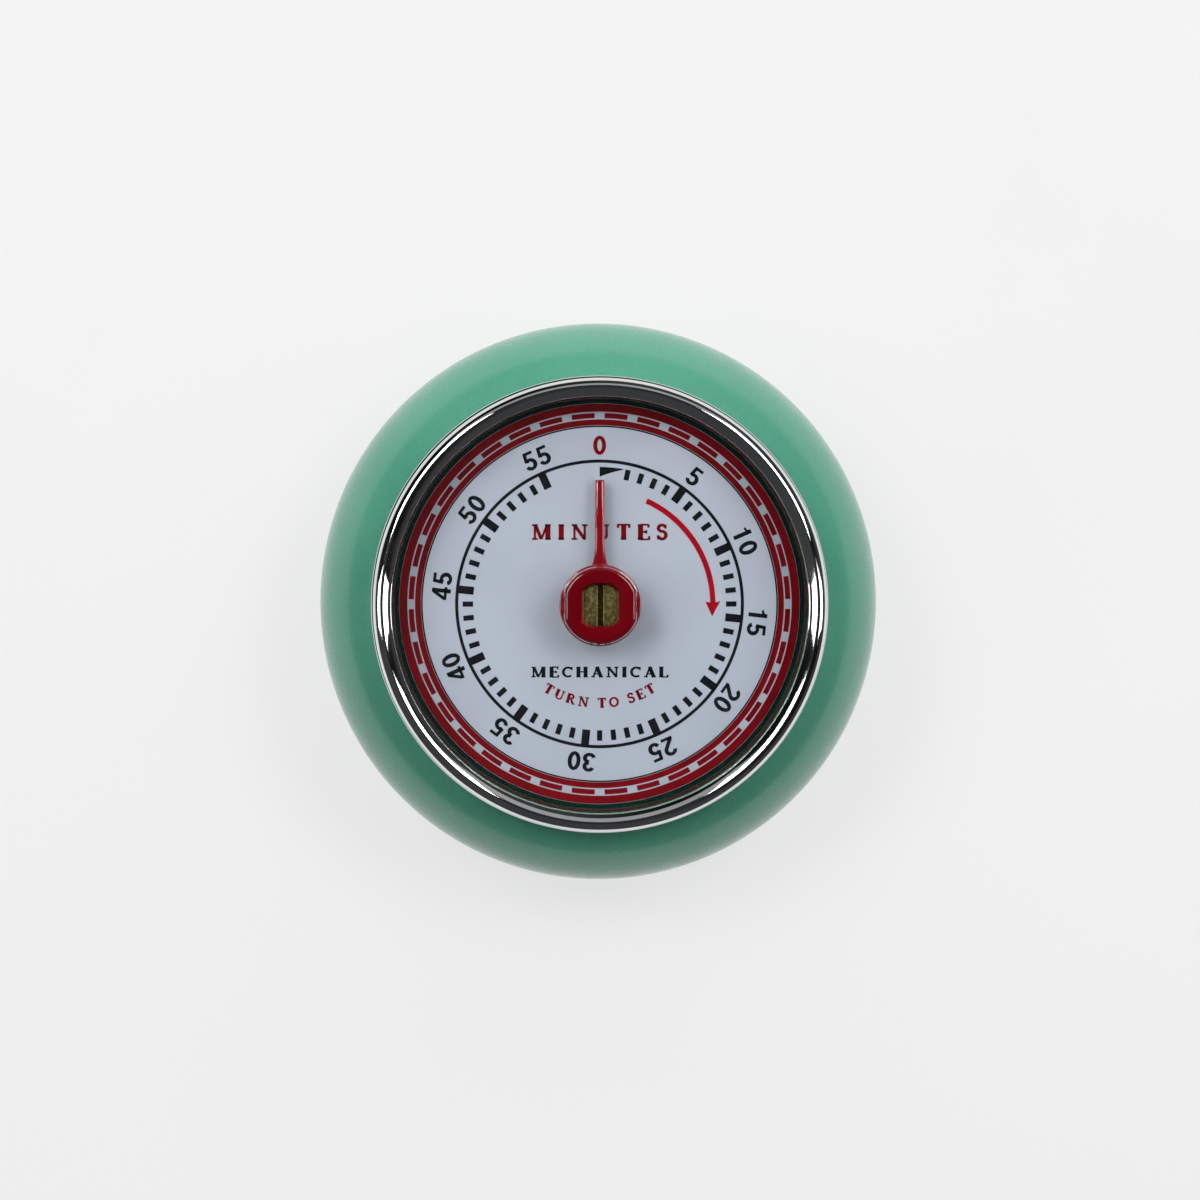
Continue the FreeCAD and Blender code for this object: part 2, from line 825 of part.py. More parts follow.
def clutch_spring():
    """A three-armed disc spring that presses on the great wheel, so that winding slips past it."""
    z = back_top + 5.3
    steel = 0.3
    arms = [link(polar(2.6, angle), polar(5.4, angle), 1.4, z, steel) for angle in BRANCH_ANGLES]
    return node("clutch_spring", cut(fuse(cylinder(3.4, z, steel), *arms), cylinder(2.25, z, steel)))


def spindle_circlip():
    """A clip in the spindle's groove that takes the clutch spring's push."""
    z = back_top + 6.03
    ring = tube(2.9, 1.75, z, 0.38)
    mouth = block(4.0, 1.8, z - 0.1, 0.6, (3.0, 0))
    return node("spindle_circlip", cut(ring, mouth))


# --- movement frame ---


def lug(place, angle):
    """An ear of the front plate that reaches out under the mounting ring."""
    inner = polar(plain(dim("plate_radius")) - 2, angle)
    return link(inner, place, 4.0, front_low, gauge)


def hole(place, radius, z):
    return cylinder(radius, z - 0.5, gauge + 1, place)


def pivot_holes(z, places):
    return [hole(place, dim("pivot_radius") + gap, z) for place in places]


def front_plate():
    """The plate under the dial, with three lugs and the holes of everything that it carries."""
    disc = cylinder(dim("plate_radius"), front_low, gauge)
    lugs = [lug(place, angle) for place, angle in zip(lug_places, lug_angles)]
    holes = pivot_holes(front_low, (second, third, escape, pallet, alarm, hammer))
    holes += [hole(centre, 4.02, front_low), hole(balance, 1.27, front_low)]
    holes += [hole(place, 1.0 + PRESS_FIT, front_low) for place in pillar_places]
    holes += [hole(place, 0.65, front_low) for place in dial_feet_places]
    holes += [hole(place, SCREW_CLEARANCE, front_low) for place in lug_places]
    holes += [hole(place, 0.8 + PRESS_FIT, front_low) for place in (control, lever_spring_place)]
    return node("front_plate", cut(fuse(disc, *lugs), *holes))


def back_plate():
    """The plate behind the movement, with two windows to the bell side."""
    disc = cylinder(dim("plate_radius"), back_low, gauge)
    windows = [hole(polar(14.0, angle), 4.2, back_low) for angle in (100, 350)]
    holes = pivot_holes(back_low, (second, third, escape, pallet, alarm))
    holes += [hole(centre, 1.5 + plain(gap), back_low), hole(balance, 1.27, back_low)]
    holes += [hole(place, 1.0 + PRESS_FIT, back_low) for place in pillar_places]
    holes += [hole(hammer, dim("arbor_radius") + gap, back_low)]
    holes += [hole(spring_stud_place, 0.6 + PRESS_FIT, back_low)]
    holes += [hole(mainspring_stud_place, 0.5 + PRESS_FIT, back_low)]
    holes += [hole(place, 1.0 + PRESS_FIT, back_low) for place in rivet_places]
    return node("back_plate", cut(disc, *windows, *holes))


def plate_pillars():
    """Turned pillars whose shouldered ends pass through both plates."""
    pillars = []
    for place in pillar_places:
        waist = cylinder(1.5, back_top, front_low - back_top, place)
        stud = cylinder(1.0, back_low - 1.2, front_top - back_low + 1.2, place)
        pillars.append(fuse(waist, stud))
    return node("plate_pillars", group(*pillars))


def hex_nut(place, z, across_flats, bore, height):
    prism_now = doc.addObject("Part::Prism", "hexagon")
    prism_now.Polygon = 6
    bind(prism_now, Circumradius=across_flats / math.sqrt(3), Height=height)
    put(prism_now, place, z)
    return cut(prism_now, cylinder(bore, z, height, place))


def pillar_nuts():
    """Nuts on the pillars' ends behind the back plate."""
    nuts = [hex_nut(place, back_low - 1.0, 4.0, 1.02, 1.0) for place in pillar_places]
    return node("pillar_nuts", group(*nuts))


def movement_screws():
    """Screws from behind the lugs up into the mounting ring."""
    screws = [screw(place, front_low, SCREW_HEAD, 1.1, SCREW_RADIUS, 2.7) for place in lug_places]
    return node("movement_screws", group(*screws))


# --- going train ---


def great_wheel():
    """The spring-driven wheel, with a collar that rides on the spindle."""
    bore = 2.25
    collar_z = back_top + 3.82
    blank = spoked_wheel(plain(dim("first_module")), second_bearing, 1.0, bore)
    node("great_wheel", put(blank, z=collar_z + 0.28))
    node("great_wheel_collar", tube(3.6, bore, collar_z, 0.26))


def train_arbor(name, place, module, driver, leaves_z, next_module=None, next_place=None, wheel_z=None):
    """One arbor of the train: a steel pinion and, riveted to it, the brass wheel that it carries."""
    mesh_turn = bearing(place, driver) + LEAF / 2
    low, high = plain(back_top), plain(front_low)
    pinion = pinion_arbor(module, mesh_turn, leaves_z, 2.0, low, high)
    node(f"{name}_pinion", put(pinion, place))
    if next_place:
        turn = bearing(place, next_place)
        wheel = spoked_wheel(next_module, turn, 0.7, plain(dim("arbor_radius")) + PRESS_FIT)
        node(f"{name}_wheel", put(wheel, place, wheel_z))


def train():
    """Second, third and escape arbors, each a step higher than the last."""
    first_module = plain(dim("first_module"))
    second_module = plain(dim("second_module"))
    third_module = plain(dim("third_module"))
    train_arbor(
        "second", second, first_module, centre, FIRST_LEVEL, second_module, third, SECOND_LEVEL + 0.6
    )
    train_arbor(
        "third", third, second_module, second, SECOND_LEVEL, third_module, escape, THIRD_LEVEL + 0.6
    )
    train_arbor("escape", escape, third_module, third, THIRD_LEVEL)
    tip = plain(dim("escape_radius"))
    bore = plain(dim("arbor_radius")) + PRESS_FIT
    star = prism(star_outline(tip, tip - 1.3, ESCAPE_TEETH, 0.12, 0), 0.6, bore)
    node("escape_wheel", put(shaped(star), escape, ESCAPE_LEVEL))


# --- escapement ---


def pallet_set():
    """A lever with two steel pins beside the escape wheel, and a fork towards the balance."""
    pin_low = ESCAPE_LEVEL - 0.3
    z = ESCAPE_LEVEL + 0.7
    thickness = 0.5
    arbor_radius = 0.5
    inward = bearing(pallet, escape)
    outward = bearing(pallet, balance)
    reach = plain(dim("escape_radius")) + 0.55
    pins = [past(escape, inward + 180 + side * 48, reach) for side in (1, -1)]
    arms = [link(pallet, pin, 0.9, z, thickness) for pin in pins]
    fork_root = past(pallet, outward, 3.2)
    tines = [
        link(fork_root, past(pallet, outward + side * 9, 4.4), 0.45, z, thickness)
        for side in (1, -1)
    ]
    body = fuse(cylinder(1.3, z, thickness, pallet), link(pallet, fork_root, 0.9, z, thickness))
    bore = cylinder(arbor_radius + PRESS_FIT, z - 1, 3, pallet)
    node("pallet_lever", cut(fuse(body, *arms, *tines), bore))
    steel_pins = [cylinder(0.2, pin_low, z - pin_low - PRESS_FIT, pin) for pin in pins]
    node("pallet_pins", group(*steel_pins))
    arbor = fuse(
        cylinder(arbor_radius, back_top, front_low - back_top, pallet),
        cylinder(dim("pivot_radius"), back_low, front_top - back_low, pallet),
    )
    node("pallet_arbor", arbor)


def balance_set():
    """A brass balance with its staff, roller and hairspring."""
    rim = dim("balance_radius")
    z = BALANCE_LEVEL
    staff_radius = 0.45
    bore = staff_radius + PRESS_FIT
    ring = tube(rim, rim - 0.9, z, 0.8, balance)
    spokes = [block(rim * 2 - 1, 0.8, z, 0.6, balance, angle) for angle in (30, 120)]
    hub = cylinder(1.0, z, 0.8, balance)
    node("balance_wheel", cut(fuse(ring, *spokes, hub), cylinder(bore, z - 1, 3, balance)))
    staff_low, staff_high = 10.3, 20.7
    tip = 0.6
    staff = fuse(
        cylinder(staff_radius, staff_low + tip, staff_high - staff_low - tip * 2, balance),
        cone(0.05, staff_radius, staff_low, tip, balance),
        cone(staff_radius, 0.05, staff_high - tip, tip, balance),
    )
    node("balance_staff", staff)
    out = bearing(balance, pallet)
    roller = fuse(
        cylinder(1.8, ROLLER_LEVEL, 0.35, balance),
        cylinder(0.15, ROLLER_LEVEL - 0.75, 0.8, past(balance, out, 1.45)),
    )
    node("impulse_roller", cut(roller, cylinder(bore, ROLLER_LEVEL - 0.45, 1.2, balance)))
    node("hairspring_collet", tube(1.0, bore, HAIRSPRING_LEVEL, 0.6, balance))
    tail = polar(6.28, 330)
    turns = 5.9
    hairspring = spiral(1.08, 3.9, turns, 0.09, 0.35, 330 - (turns - 5) * 360, tail)
    node("hairspring", put(hairspring, balance, HAIRSPRING_LEVEL + 0.1))
    stud = cylinder(0.6, back_low, HAIRSPRING_LEVEL - back_low.value, spring_stud_place)
    clamp = cylinder(0.3, HAIRSPRING_LEVEL, 0.7, spring_stud_place)
    node("hairspring_stud", fuse(stud, clamp))
    play = 0.08
    low_seat = cut(
        cylinder(1.25, back_low, gauge + 0.5, balance),
        cone(0.1, 0.62, staff_low - play, tip, balance),
    )
    high_seat = cut(
        cylinder(1.25, front_low - 0.5, gauge + 0.5, balance),
        cone(0.62, 0.1, staff_high + play - tip, tip, balance),
    )
    node("balance_bearings", group(low_seat, high_seat))


# --- alarm ---


def alarm_set():
    """The wheel that knocks the hammer to and fro, driven straight from the great wheel."""
    module = plain(dim("first_module"))
    turn = bearing(alarm, centre) + LEAF / 2
    low, high = plain(back_top), plain(front_low)
    node("alarm_pinion", put(pinion_arbor(module, turn, FIRST_LEVEL, 2.0, low, high), alarm))
    bore = plain(dim("arbor_radius")) + PRESS_FIT
    star = prism(star_outline(4.2, 3.1, ALARM_TEETH, 0.3, 0), 0.8, bore)
    node("alarm_star_wheel", put(shaped(star), alarm, ALARM_LEVEL))


def hammer_set():
    """The hammer: a verge beside the star wheel, an arbor through the back plate, an arm and a head."""
    z = ALARM_LEVEL
    thickness = 0.8
    bore = dim("arbor_radius") + PRESS_FIT
    inward = bearing(hammer, alarm)
    tips = [past(alarm, inward + 180 + side * 40, 4.95) for side in (1, -1)]
    horns = [link(hammer, tip, thickness, z, thickness) for tip in tips]
    verge = cut(fuse(cylinder(1.5, z, thickness, hammer), *horns), cylinder(bore, z, 1, hammer))
    node("hammer_verge", verge)
    arbor_low = HAMMER_LEVEL - 0.2
    arbor = fuse(
        cylinder(dim("arbor_radius"), arbor_low, front_low - arbor_low, hammer),
        cylinder(dim("pivot_radius"), front_low - 1, gauge + 1, hammer),
    )
    node("hammer_arbor", arbor)
    head = polar(plain(dim("bell_radius")) + 2.3, -25)
    peg = 0.5
    level = HAMMER_LEVEL
    arm = cut(
        fuse(cylinder(1.5, level, thickness, hammer), link(hammer, head, 1.3, level, thickness)),
        cylinder(bore, level - 0.5, 2, hammer),
        cylinder(peg + PRESS_FIT, level - 0.5, 2, head),
    )
    node("hammer_arm", arm)
    mass = cylinder(1.7, BELL_LOW, level - BELL_LOW, head)
    node("hammer_head", fuse(mass, cylinder(peg, level - 0.5, 1.5, head)))


def bell():
    """A pressed steel bell on a post below the back plate."""
    radius = dim("bell_radius")
    low = BELL_LOW
    rim = 8.3
    steel = dim("sheet_gauge")
    bend = Size(1.5, "1.5")
    profile = [
        (SCREW_CLEARANCE, low),
        (radius - bend, low),
        (radius, bend + low, bend),
        (radius, rim),
        (radius - steel, rim),
        (radius - steel, bend + low),
        (radius - bend, steel + low, steel - bend),
        (SCREW_CLEARANCE, steel + low),
    ]
    node("bell", turned(profile))
    post_low = low + plain(steel)
    flange = 0.35
    flange_z = back_low - flange
    post = fuse(
        cylinder(2.4, post_low, flange_z - post_low), tube(RIVET_CIRCLE + 2, 1.6, flange_z, flange)
    )
    flange_holes = [
        cylinder(1.0 + PRESS_FIT, flange_z - 0.5, 1.5, place) for place in rivet_places
    ]
    node("bell_post", cut(post, cylinder(0.93, post_low - 0.4, 2.6), *flange_holes))
    rivets = [
        fuse(
            cylinder(1.6, flange_z - 0.45, 0.45, place),
            cylinder(1.0, flange_z, gauge + flange, place),
        )
        for place in rivet_places
    ]
    node("bell_rivets", group(*rivets))
    node("bell_screw", screw(centre, low, 2.2, 0.8, 0.9, 2.4))


# --- control lever ---


def control_lever():
    """The lever that rides on the cam and holds the hammer still until zero."""
    z = front_low - 1.6
    thickness = 0.8
    stud_radius = 0.8
    finger_root = (7.5, 12.0)
    finger_tip = (15.0, 9.8)
    bars = [
        link(control, lever_elbow, 1.6, z, thickness),
        link(lever_elbow, cam_nose_place, 1.2, z, thickness),
        link(lever_elbow, finger_root, 1.4, z, thickness),
        link(finger_root, finger_tip, 1.2, z, thickness),
    ]
    body = fuse(cylinder(1.9, z, thickness, control), *bars)
    node("control_lever", cut(body, cylinder(stud_radius + 0.06, z - 1, 3, control)))
    stud = fuse(
        cylinder(stud_radius, z - 0.3, gauge + 1.9, control),
        cylinder(1.3, z - 0.65, 0.5, control),
    )
    spring_stud = cylinder(stud_radius, z - 0.3, gauge + 1.9, lever_spring_place)
    node("lever_studs", group(stud, spring_stud))
    spring_root, spring_end = (-0.1, 18.0), (4.6, 12.7)
    node("lever_spring", link(spring_root, spring_end, 0.22, z + 0.1, 0.6))


case_shell()
back_cover()
cover_screws()
mount_ring()
magnet()
dial()
bezel()
bezel_wire()
lens()
lens_ring()
pointer()
spindle()
spindle_bush()
mainspring()
spring_hook()
timing_cam()
clutch_spring()
spindle_circlip()
front_plate()
back_plate()
plate_pillars()
pillar_nuts()
movement_screws()
great_wheel()
train()
pallet_set()
balance_set()
alarm_set()
hammer_set()
bell()
control_lever()

doc.recompute()
faults = [obj.Name for obj in doc.Objects if {"Invalid", "Error"} & set(obj.State)]
if faults:
    raise RuntimeError(f"these objects failed: {faults}")
for name, obj in nodes.items():
    if obj.Shape.isNull() or not obj.Shape.isValid() or not obj.Shape.Solids:
        raise RuntimeError(f"{name} has no valid solid")

os.makedirs("parts", exist_ok=True)
for name, obj in nodes.items():
    obj.Shape.exportStep(f"parts/{name}.step")
print(len(nodes), "nodes")
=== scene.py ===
import json
import math

import bmesh
import bpy
from mathutils import Matrix, Vector


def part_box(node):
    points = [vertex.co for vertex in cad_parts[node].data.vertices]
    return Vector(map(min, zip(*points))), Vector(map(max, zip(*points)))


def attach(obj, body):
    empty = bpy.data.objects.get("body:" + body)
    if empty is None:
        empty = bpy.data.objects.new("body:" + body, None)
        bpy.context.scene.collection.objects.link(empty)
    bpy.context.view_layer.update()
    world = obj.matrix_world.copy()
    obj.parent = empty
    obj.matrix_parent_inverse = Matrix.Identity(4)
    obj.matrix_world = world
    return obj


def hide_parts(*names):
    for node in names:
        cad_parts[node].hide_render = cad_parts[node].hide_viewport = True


MM = 0.001

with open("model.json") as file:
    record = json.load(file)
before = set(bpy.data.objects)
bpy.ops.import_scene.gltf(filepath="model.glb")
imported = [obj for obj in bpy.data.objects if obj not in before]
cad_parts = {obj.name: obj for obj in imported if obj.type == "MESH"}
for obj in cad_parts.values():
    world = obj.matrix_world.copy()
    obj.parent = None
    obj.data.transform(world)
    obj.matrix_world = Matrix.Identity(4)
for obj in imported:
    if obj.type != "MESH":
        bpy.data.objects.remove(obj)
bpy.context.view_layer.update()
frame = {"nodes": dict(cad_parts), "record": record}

# --- sizes in millimetres, most of them read from the frame ---


def low_corner(node):
    """The lowest x, y and z of a CAD node."""
    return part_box(node)[0] / MM


def high_corner(node):
    """The highest x, y and z of a CAD node."""
    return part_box(node)[1] / MM


TURN_STEPS = 288
CASE_RADIUS = high_corner("case_shell").x
CURL = low_corner("case_shell").z
NECK_TOP = high_corner("case_shell").z
DIAL_RADIUS = high_corner("dial").x
DIAL_LOW = low_corner("dial").z
DIAL_TOP = high_corner("dial").z
BEZEL_REACH = high_corner("bezel").x
BEZEL_LOW = low_corner("bezel").z
BEZEL_TOP = high_corner("bezel").z
LENS_RADIUS = high_corner("lens").x
HUB_TOP = high_corner("pointer").z
HUB_RADIUS = high_corner("pointer").x
HUB_LOW = low_corner("pointer").z
POINTER_REACH = high_corner("pointer").y
SECTION = 13.9
SHEET = 0.7
TYRE_HEIGHT = low_corner("back_cover").z + SECTION
TYRE_CENTRE = CASE_RADIUS - SECTION
NECK = 28.6
WELL_MOUTH = 27.35
WELL_FOOT = 26.8
SEAT_BORE = 24.5
LENS_LIFT = 0.02
LENS_DOME = 0.95
LENS_GAUGE = 1.3
LENS_EDGE = high_corner("lens_retaining_ring").z + LENS_LIFT + LENS_GAUGE
INK = 0.02
INK_LOW = DIAL_TOP - INK
INK_HIGH = DIAL_TOP + INK

# --- outlines ---


def arc(centre, radius, start, end, steps):
    """Points on an arc in a (radius, height) plane. Angles are in degrees from outwards."""
    points = []
    for i in range(steps + 1):
        angle = math.radians(start + (end - start) * i / steps)
        points.append((centre[0] + radius * math.cos(angle), centre[1] + radius * math.sin(angle)))
    return points


def on_arc_radius(section, radius):
    """The angle at which a tyre section of this radius crosses a distance from the axis."""
    return math.degrees(math.acos((radius - TYRE_CENTRE) / section))


def on_arc_height(section, height):
    """The angle at which a tyre section of this radius crosses a height."""
    return math.degrees(math.asin((height - TYRE_HEIGHT) / section))


def rounded(outline, radii, steps=4):
    """The closed outline with corners rounded: radii maps a corner's number to its radius."""
    points = []
    for number, corner in enumerate(outline):
        if number not in radii:
            points.append(corner)
            continue
        here = Vector(corner)
        before = Vector(outline[number - 1]) - here
        after = Vector(outline[(number + 1) % len(outline)]) - here
        trim = radii[number] / math.tan(before.angle(after) / 2)
        start = here + before.normalized() * min(trim, before.length * 0.45)
        end = here + after.normalized() * min(trim, after.length * 0.45)
        for k in range(steps + 1):
            t = k / steps
            point = start * (1 - t) ** 2 + here * (2 * t * (1 - t)) + end * t**2
            points.append((point.x, point.y))
    return points


# --- mesh builders ---


def new_mesh(bm, name):
    """Turns a finished bmesh into a mesh whose faces look outwards."""
    bmesh.ops.recalc_face_normals(bm, faces=bm.faces)
    mesh = bpy.data.meshes.new(name)
    bm.to_mesh(mesh)
    bm.free()
    return mesh


def piece(name, mesh, body, material, stands_for=None, sharp=32):
    """Puts a mesh on a body as a smooth-shaded piece of the object."""
    obj = bpy.data.objects.new(name, mesh)
    bpy.context.scene.collection.objects.link(obj)
    mesh.shade_smooth()
    mesh.set_sharp_from_angle(angle=math.radians(sharp))
    mesh.materials.append(MATERIALS[material])
    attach(obj, body)
    if stands_for:
        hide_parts(stands_for)
    return obj


def loft(bm, loops, closed=False):
    """Skins rings of (x, y, z) that have as many points each, and caps the ends unless it is closed."""
    rings = [[bm.verts.new((x * MM, y * MM, z * MM)) for x, y, z in loop] for loop in loops]
    count = len(rings[0])
    pairs = list(zip(rings, rings[1:]))
    if closed:
        pairs.append((rings[-1], rings[0]))
    for one, other in pairs:
        for i in range(count):
            after = (i + 1) % count
            bm.faces.new((one[i], one[after], other[after], other[i]))
    if not closed:
        bm.faces.new(rings[0])
        bm.faces.new(rings[-1])


def lathe(outline):
    """A closed outline of (radius, height) turned about the spindle's axis."""
    bm = bmesh.new()
    angles = [2 * math.pi * i / TURN_STEPS for i in range(TURN_STEPS)]
    loops = [[(r * math.cos(a), r * math.sin(a), z) for a in angles] for r, z in outline]
    loft(bm, loops, closed=True)
    return new_mesh(bm, "lathe")


def clock(radius, degrees):
    """A point on the dial, with degrees clockwise from the zero mark."""
    angle = math.radians(degrees)
    return radius * math.sin(angle), radius * math.cos(angle)


def ink_shape(bm, outline):
    """Adds a film of ink over a closed outline of (x, y) to the dial."""
    loft(bm, [[(x, y, z) for x, y in outline] for z in (INK_LOW, INK_HIGH)])


def ink_band(bm, inner, outer, start, end):
    """Adds a curved band of ink between two radii and two clock angles."""
    steps = max(2, round(abs(end - start) / 1.25))
    angles = [start + (end - start) * i / steps for i in range(steps + 1)]
    ink_shape(bm, [clock(inner, a) for a in angles] + [clock(outer, a) for a in reversed(angles)])


def ink_ring(bm, inner, outer):
    """Adds a whole ring of ink."""
    angles = [360 * i / TURN_STEPS for i in range(TURN_STEPS)]
    corners = [(inner, INK_LOW), (outer, INK_LOW), (outer, INK_HIGH), (inner, INK_HIGH)]
    loops = [[(*clock(radius, a), z) for a in angles] for radius, z in corners]
    loft(bm, loops, closed=True)


# --- materials ---


def new_material(name):
    """A material with its node tree and its main shader."""
    material = bpy.data.materials.new(name)
    material.use_nodes = True
    tree = material.node_tree
    return material, tree, tree.nodes["Principled BSDF"]


def noise(tree, scale, detail=4.0):
    """A pattern fixed to the object, with this many features a metre."""
    place = tree.nodes.new("ShaderNodeTexCoord")
    made = tree.nodes.new("ShaderNodeTexNoise")
    made.inputs["Scale"].default_value = scale
    made.inputs["Detail"].default_value = detail
    tree.links.new(place.outputs["Object"], made.inputs["Vector"])
    return made.outputs["Fac"]


def ramp(tree, source, low, high, first, last):
    """Turns a pattern's range from low to high into a run between two colours."""
    made = tree.nodes.new("ShaderNodeValToRGB")
    for element, position, colour in zip(made.color_ramp.elements, (low, high), (first, last)):
        element.position = position
        element.color = (*colour, 1)
    tree.links.new(source, made.inputs["Fac"])
    return made.outputs["Color"]


def spread(tree, source, low, high):
    """Turns a pattern into a run between two numbers."""
    made = tree.nodes.new("ShaderNodeMapRange")
    made.inputs["From Min"].default_value = 0.35
    made.inputs["From Max"].default_value = 0.7
    made.inputs["To Min"].default_value = low
    made.inputs["To Max"].default_value = high
    tree.links.new(source, made.inputs["Value"])
    return made.outputs["Result"]


def bump(tree, shader, source, strength, depth):
    """Lets a pattern raise the surface by up to this depth in metres."""
    made = tree.nodes.new("ShaderNodeBump")
    made.inputs["Strength"].default_value = strength
    made.inputs["Distance"].default_value = depth
    tree.links.new(source, made.inputs["Height"])
    tree.links.new(made.outputs["Normal"], shader.inputs["Normal"])


def surface(name, first, last, rough, grain, relief=0.05, metallic=0.0):
    """A surface of two near colours in soft patches, with a grain in its gloss and its relief."""
    material, tree, shader = new_material(name)
    shader.inputs["Metallic"].default_value = metallic
    colour = ramp(tree, noise(tree, grain / 6, 3.0), 0.35, 0.65, first, last)
    tree.links.new(colour, shader.inputs["Base Color"])
    gloss = spread(tree, noise(tree, grain, 6.0), *rough)
    tree.links.new(gloss, shader.inputs["Roughness"])
    bump(tree, shader, noise(tree, grain * 2, 3.0), relief, 0.0001)
    return material, shader


def enamel():
    """Stoved enamel: mint green with a faint orange peel under a hard gloss."""
    material, shader = surface(
        "mint_enamel", (0.082, 0.345, 0.230), (0.092, 0.368, 0.246), (0.24, 0.32), 420, relief=0.02
    )
    shader.inputs["Coat Weight"].default_value = 0.4
    shader.inputs["Coat Roughness"].default_value = 0.10
    return material


def ruby():
    """Polished red plastic that passes some light."""
    material, shader = surface(
        "red_plastic", (0.21, 0.0005, 0.006), (0.29, 0.001, 0.010), (0.03, 0.08), 500, relief=0.02
    )
    shader.inputs["IOR"].default_value = 1.49
    shader.inputs["Transmission Weight"].default_value = 0.35
    shader.inputs["Coat Weight"].default_value = 0.4
    shader.inputs["Coat Roughness"].default_value = 0.03
    return material


def clear():
    """Clear acrylic with a trace of haze. Lamps shine through it to the dial."""
    material, tree, shader = new_material("clear_lens")
    shader.inputs["Transmission Weight"].default_value = 1.0
    shader.inputs["IOR"].default_value = 1.49
    tint = ramp(tree, noise(tree, 60), 0.3, 0.7, (0.985, 0.992, 0.990), (0.995, 0.997, 0.997))
    tree.links.new(tint, shader.inputs["Base Color"])
    tree.links.new(spread(tree, noise(tree, 400, 5.0), 0.0, 0.003), shader.inputs["Roughness"])
    bump(tree, shader, noise(tree, 90, 2.0), 0.01, 0.0001)
    through = tree.nodes.new("ShaderNodeBsdfTransparent")
    pick = tree.nodes.new("ShaderNodeMixShader")
    path = tree.nodes.new("ShaderNodeLightPath")
    tree.links.new(path.outputs["Is Shadow Ray"], pick.inputs["Fac"])
    tree.links.new(shader.outputs["BSDF"], pick.inputs[1])
    tree.links.new(through.outputs["BSDF"], pick.inputs[2])
    tree.links.new(pick.outputs["Shader"], tree.nodes["Material Output"].inputs["Surface"])
    return material


def tarnish(made, depth):
    """Paints shade into a metal's colour: darker in its corners and slots, where less light reaches, down
    to this depth.
    """
    tree = made.node_tree
    colour = tree.nodes["Principled BSDF"].inputs["Base Color"]
    shade = tree.nodes.new("ShaderNodeAmbientOcclusion")
    shade.inputs["Distance"].default_value = depth * MM
    tree.links.new(colour.links[0].from_socket, shade.inputs["Color"])
    tree.links.new(shade.outputs["Color"], colour)


def make_materials():
    """All materials by name. Each row has two colours, roughness from and to, grain and relief."""
    metals = {
        "chrome_plate": ((0.74, 0.75, 0.77), (0.82, 0.83, 0.84), (0.03, 0.08), 420, 0.012),
        "brass": ((0.52, 0.42, 0.13), (0.68, 0.56, 0.22), (0.20, 0.32), 2000, 0.25),
        "plate_steel": ((0.50, 0.51, 0.52), (0.60, 0.61, 0.62), (0.22, 0.40), 900, 0.10),
        "arbor_steel": ((0.38, 0.39, 0.41), (0.50, 0.51, 0.53), (0.15, 0.30), 1500, 0.08),
        "spring_steel": ((0.10, 0.13, 0.24), (0.16, 0.20, 0.34), (0.18, 0.32), 1200, 0.08),
        "bell_steel": ((0.58, 0.58, 0.56), (0.68, 0.68, 0.65), (0.10, 0.24), 600, 0.05),
        "screw_steel": ((0.48, 0.49, 0.50), (0.60, 0.61, 0.62), (0.20, 0.36), 1200, 0.10),
    }
    plastics = {
        "dial_print": ((0.320, 0.357, 0.417), (0.333, 0.370, 0.433), (0.34, 0.44), 700, 0.03),
        "black_moulding": ((0.016, 0.016, 0.017), (0.026, 0.026, 0.027), (0.40, 0.58), 2400, 0.30),
        "ferrite": ((0.035, 0.035, 0.037), (0.060, 0.060, 0.062), (0.50, 0.70), 2600, 0.35),
        # Near-black copy of the mint enamel for the dial's well: painted shade.
        "well_enamel_painted_shade": ((0.001, 0.018, 0.013), (0.002, 0.026, 0.018), (0.10, 0.18), 420, 0.02),
        "ink_black": ((0.003, 0.004, 0.006), (0.006, 0.007, 0.010), (0.55, 0.70), 3000, 0.05),
        "ink_red": ((0.115, 0.0005, 0.002), (0.150, 0.001, 0.004), (0.50, 0.65), 3000, 0.05),
        "ink_scarlet": ((0.250, 0.001, 0.006), (0.300, 0.002, 0.009), (0.50, 0.65), 3000, 0.05),
    }
    made = {"mint_enamel": enamel(), "red_plastic": ruby(), "clear_lens": clear()}
    for name, values in metals.items():
        made[name] = surface(name, *values, metallic=1.0)[0]
    # Painted shade: the brass is darkened in its slots and corners.
    tarnish(made["brass"], 0.9)
    for name, values in plastics.items():
        made[name], shader = surface(name, *values)
        if name.startswith("ink"):
            shader.inputs["Specular IOR Level"].default_value = 0.04
    return made


MATERIALS = make_materials()


# --- the case and the setting ring ---


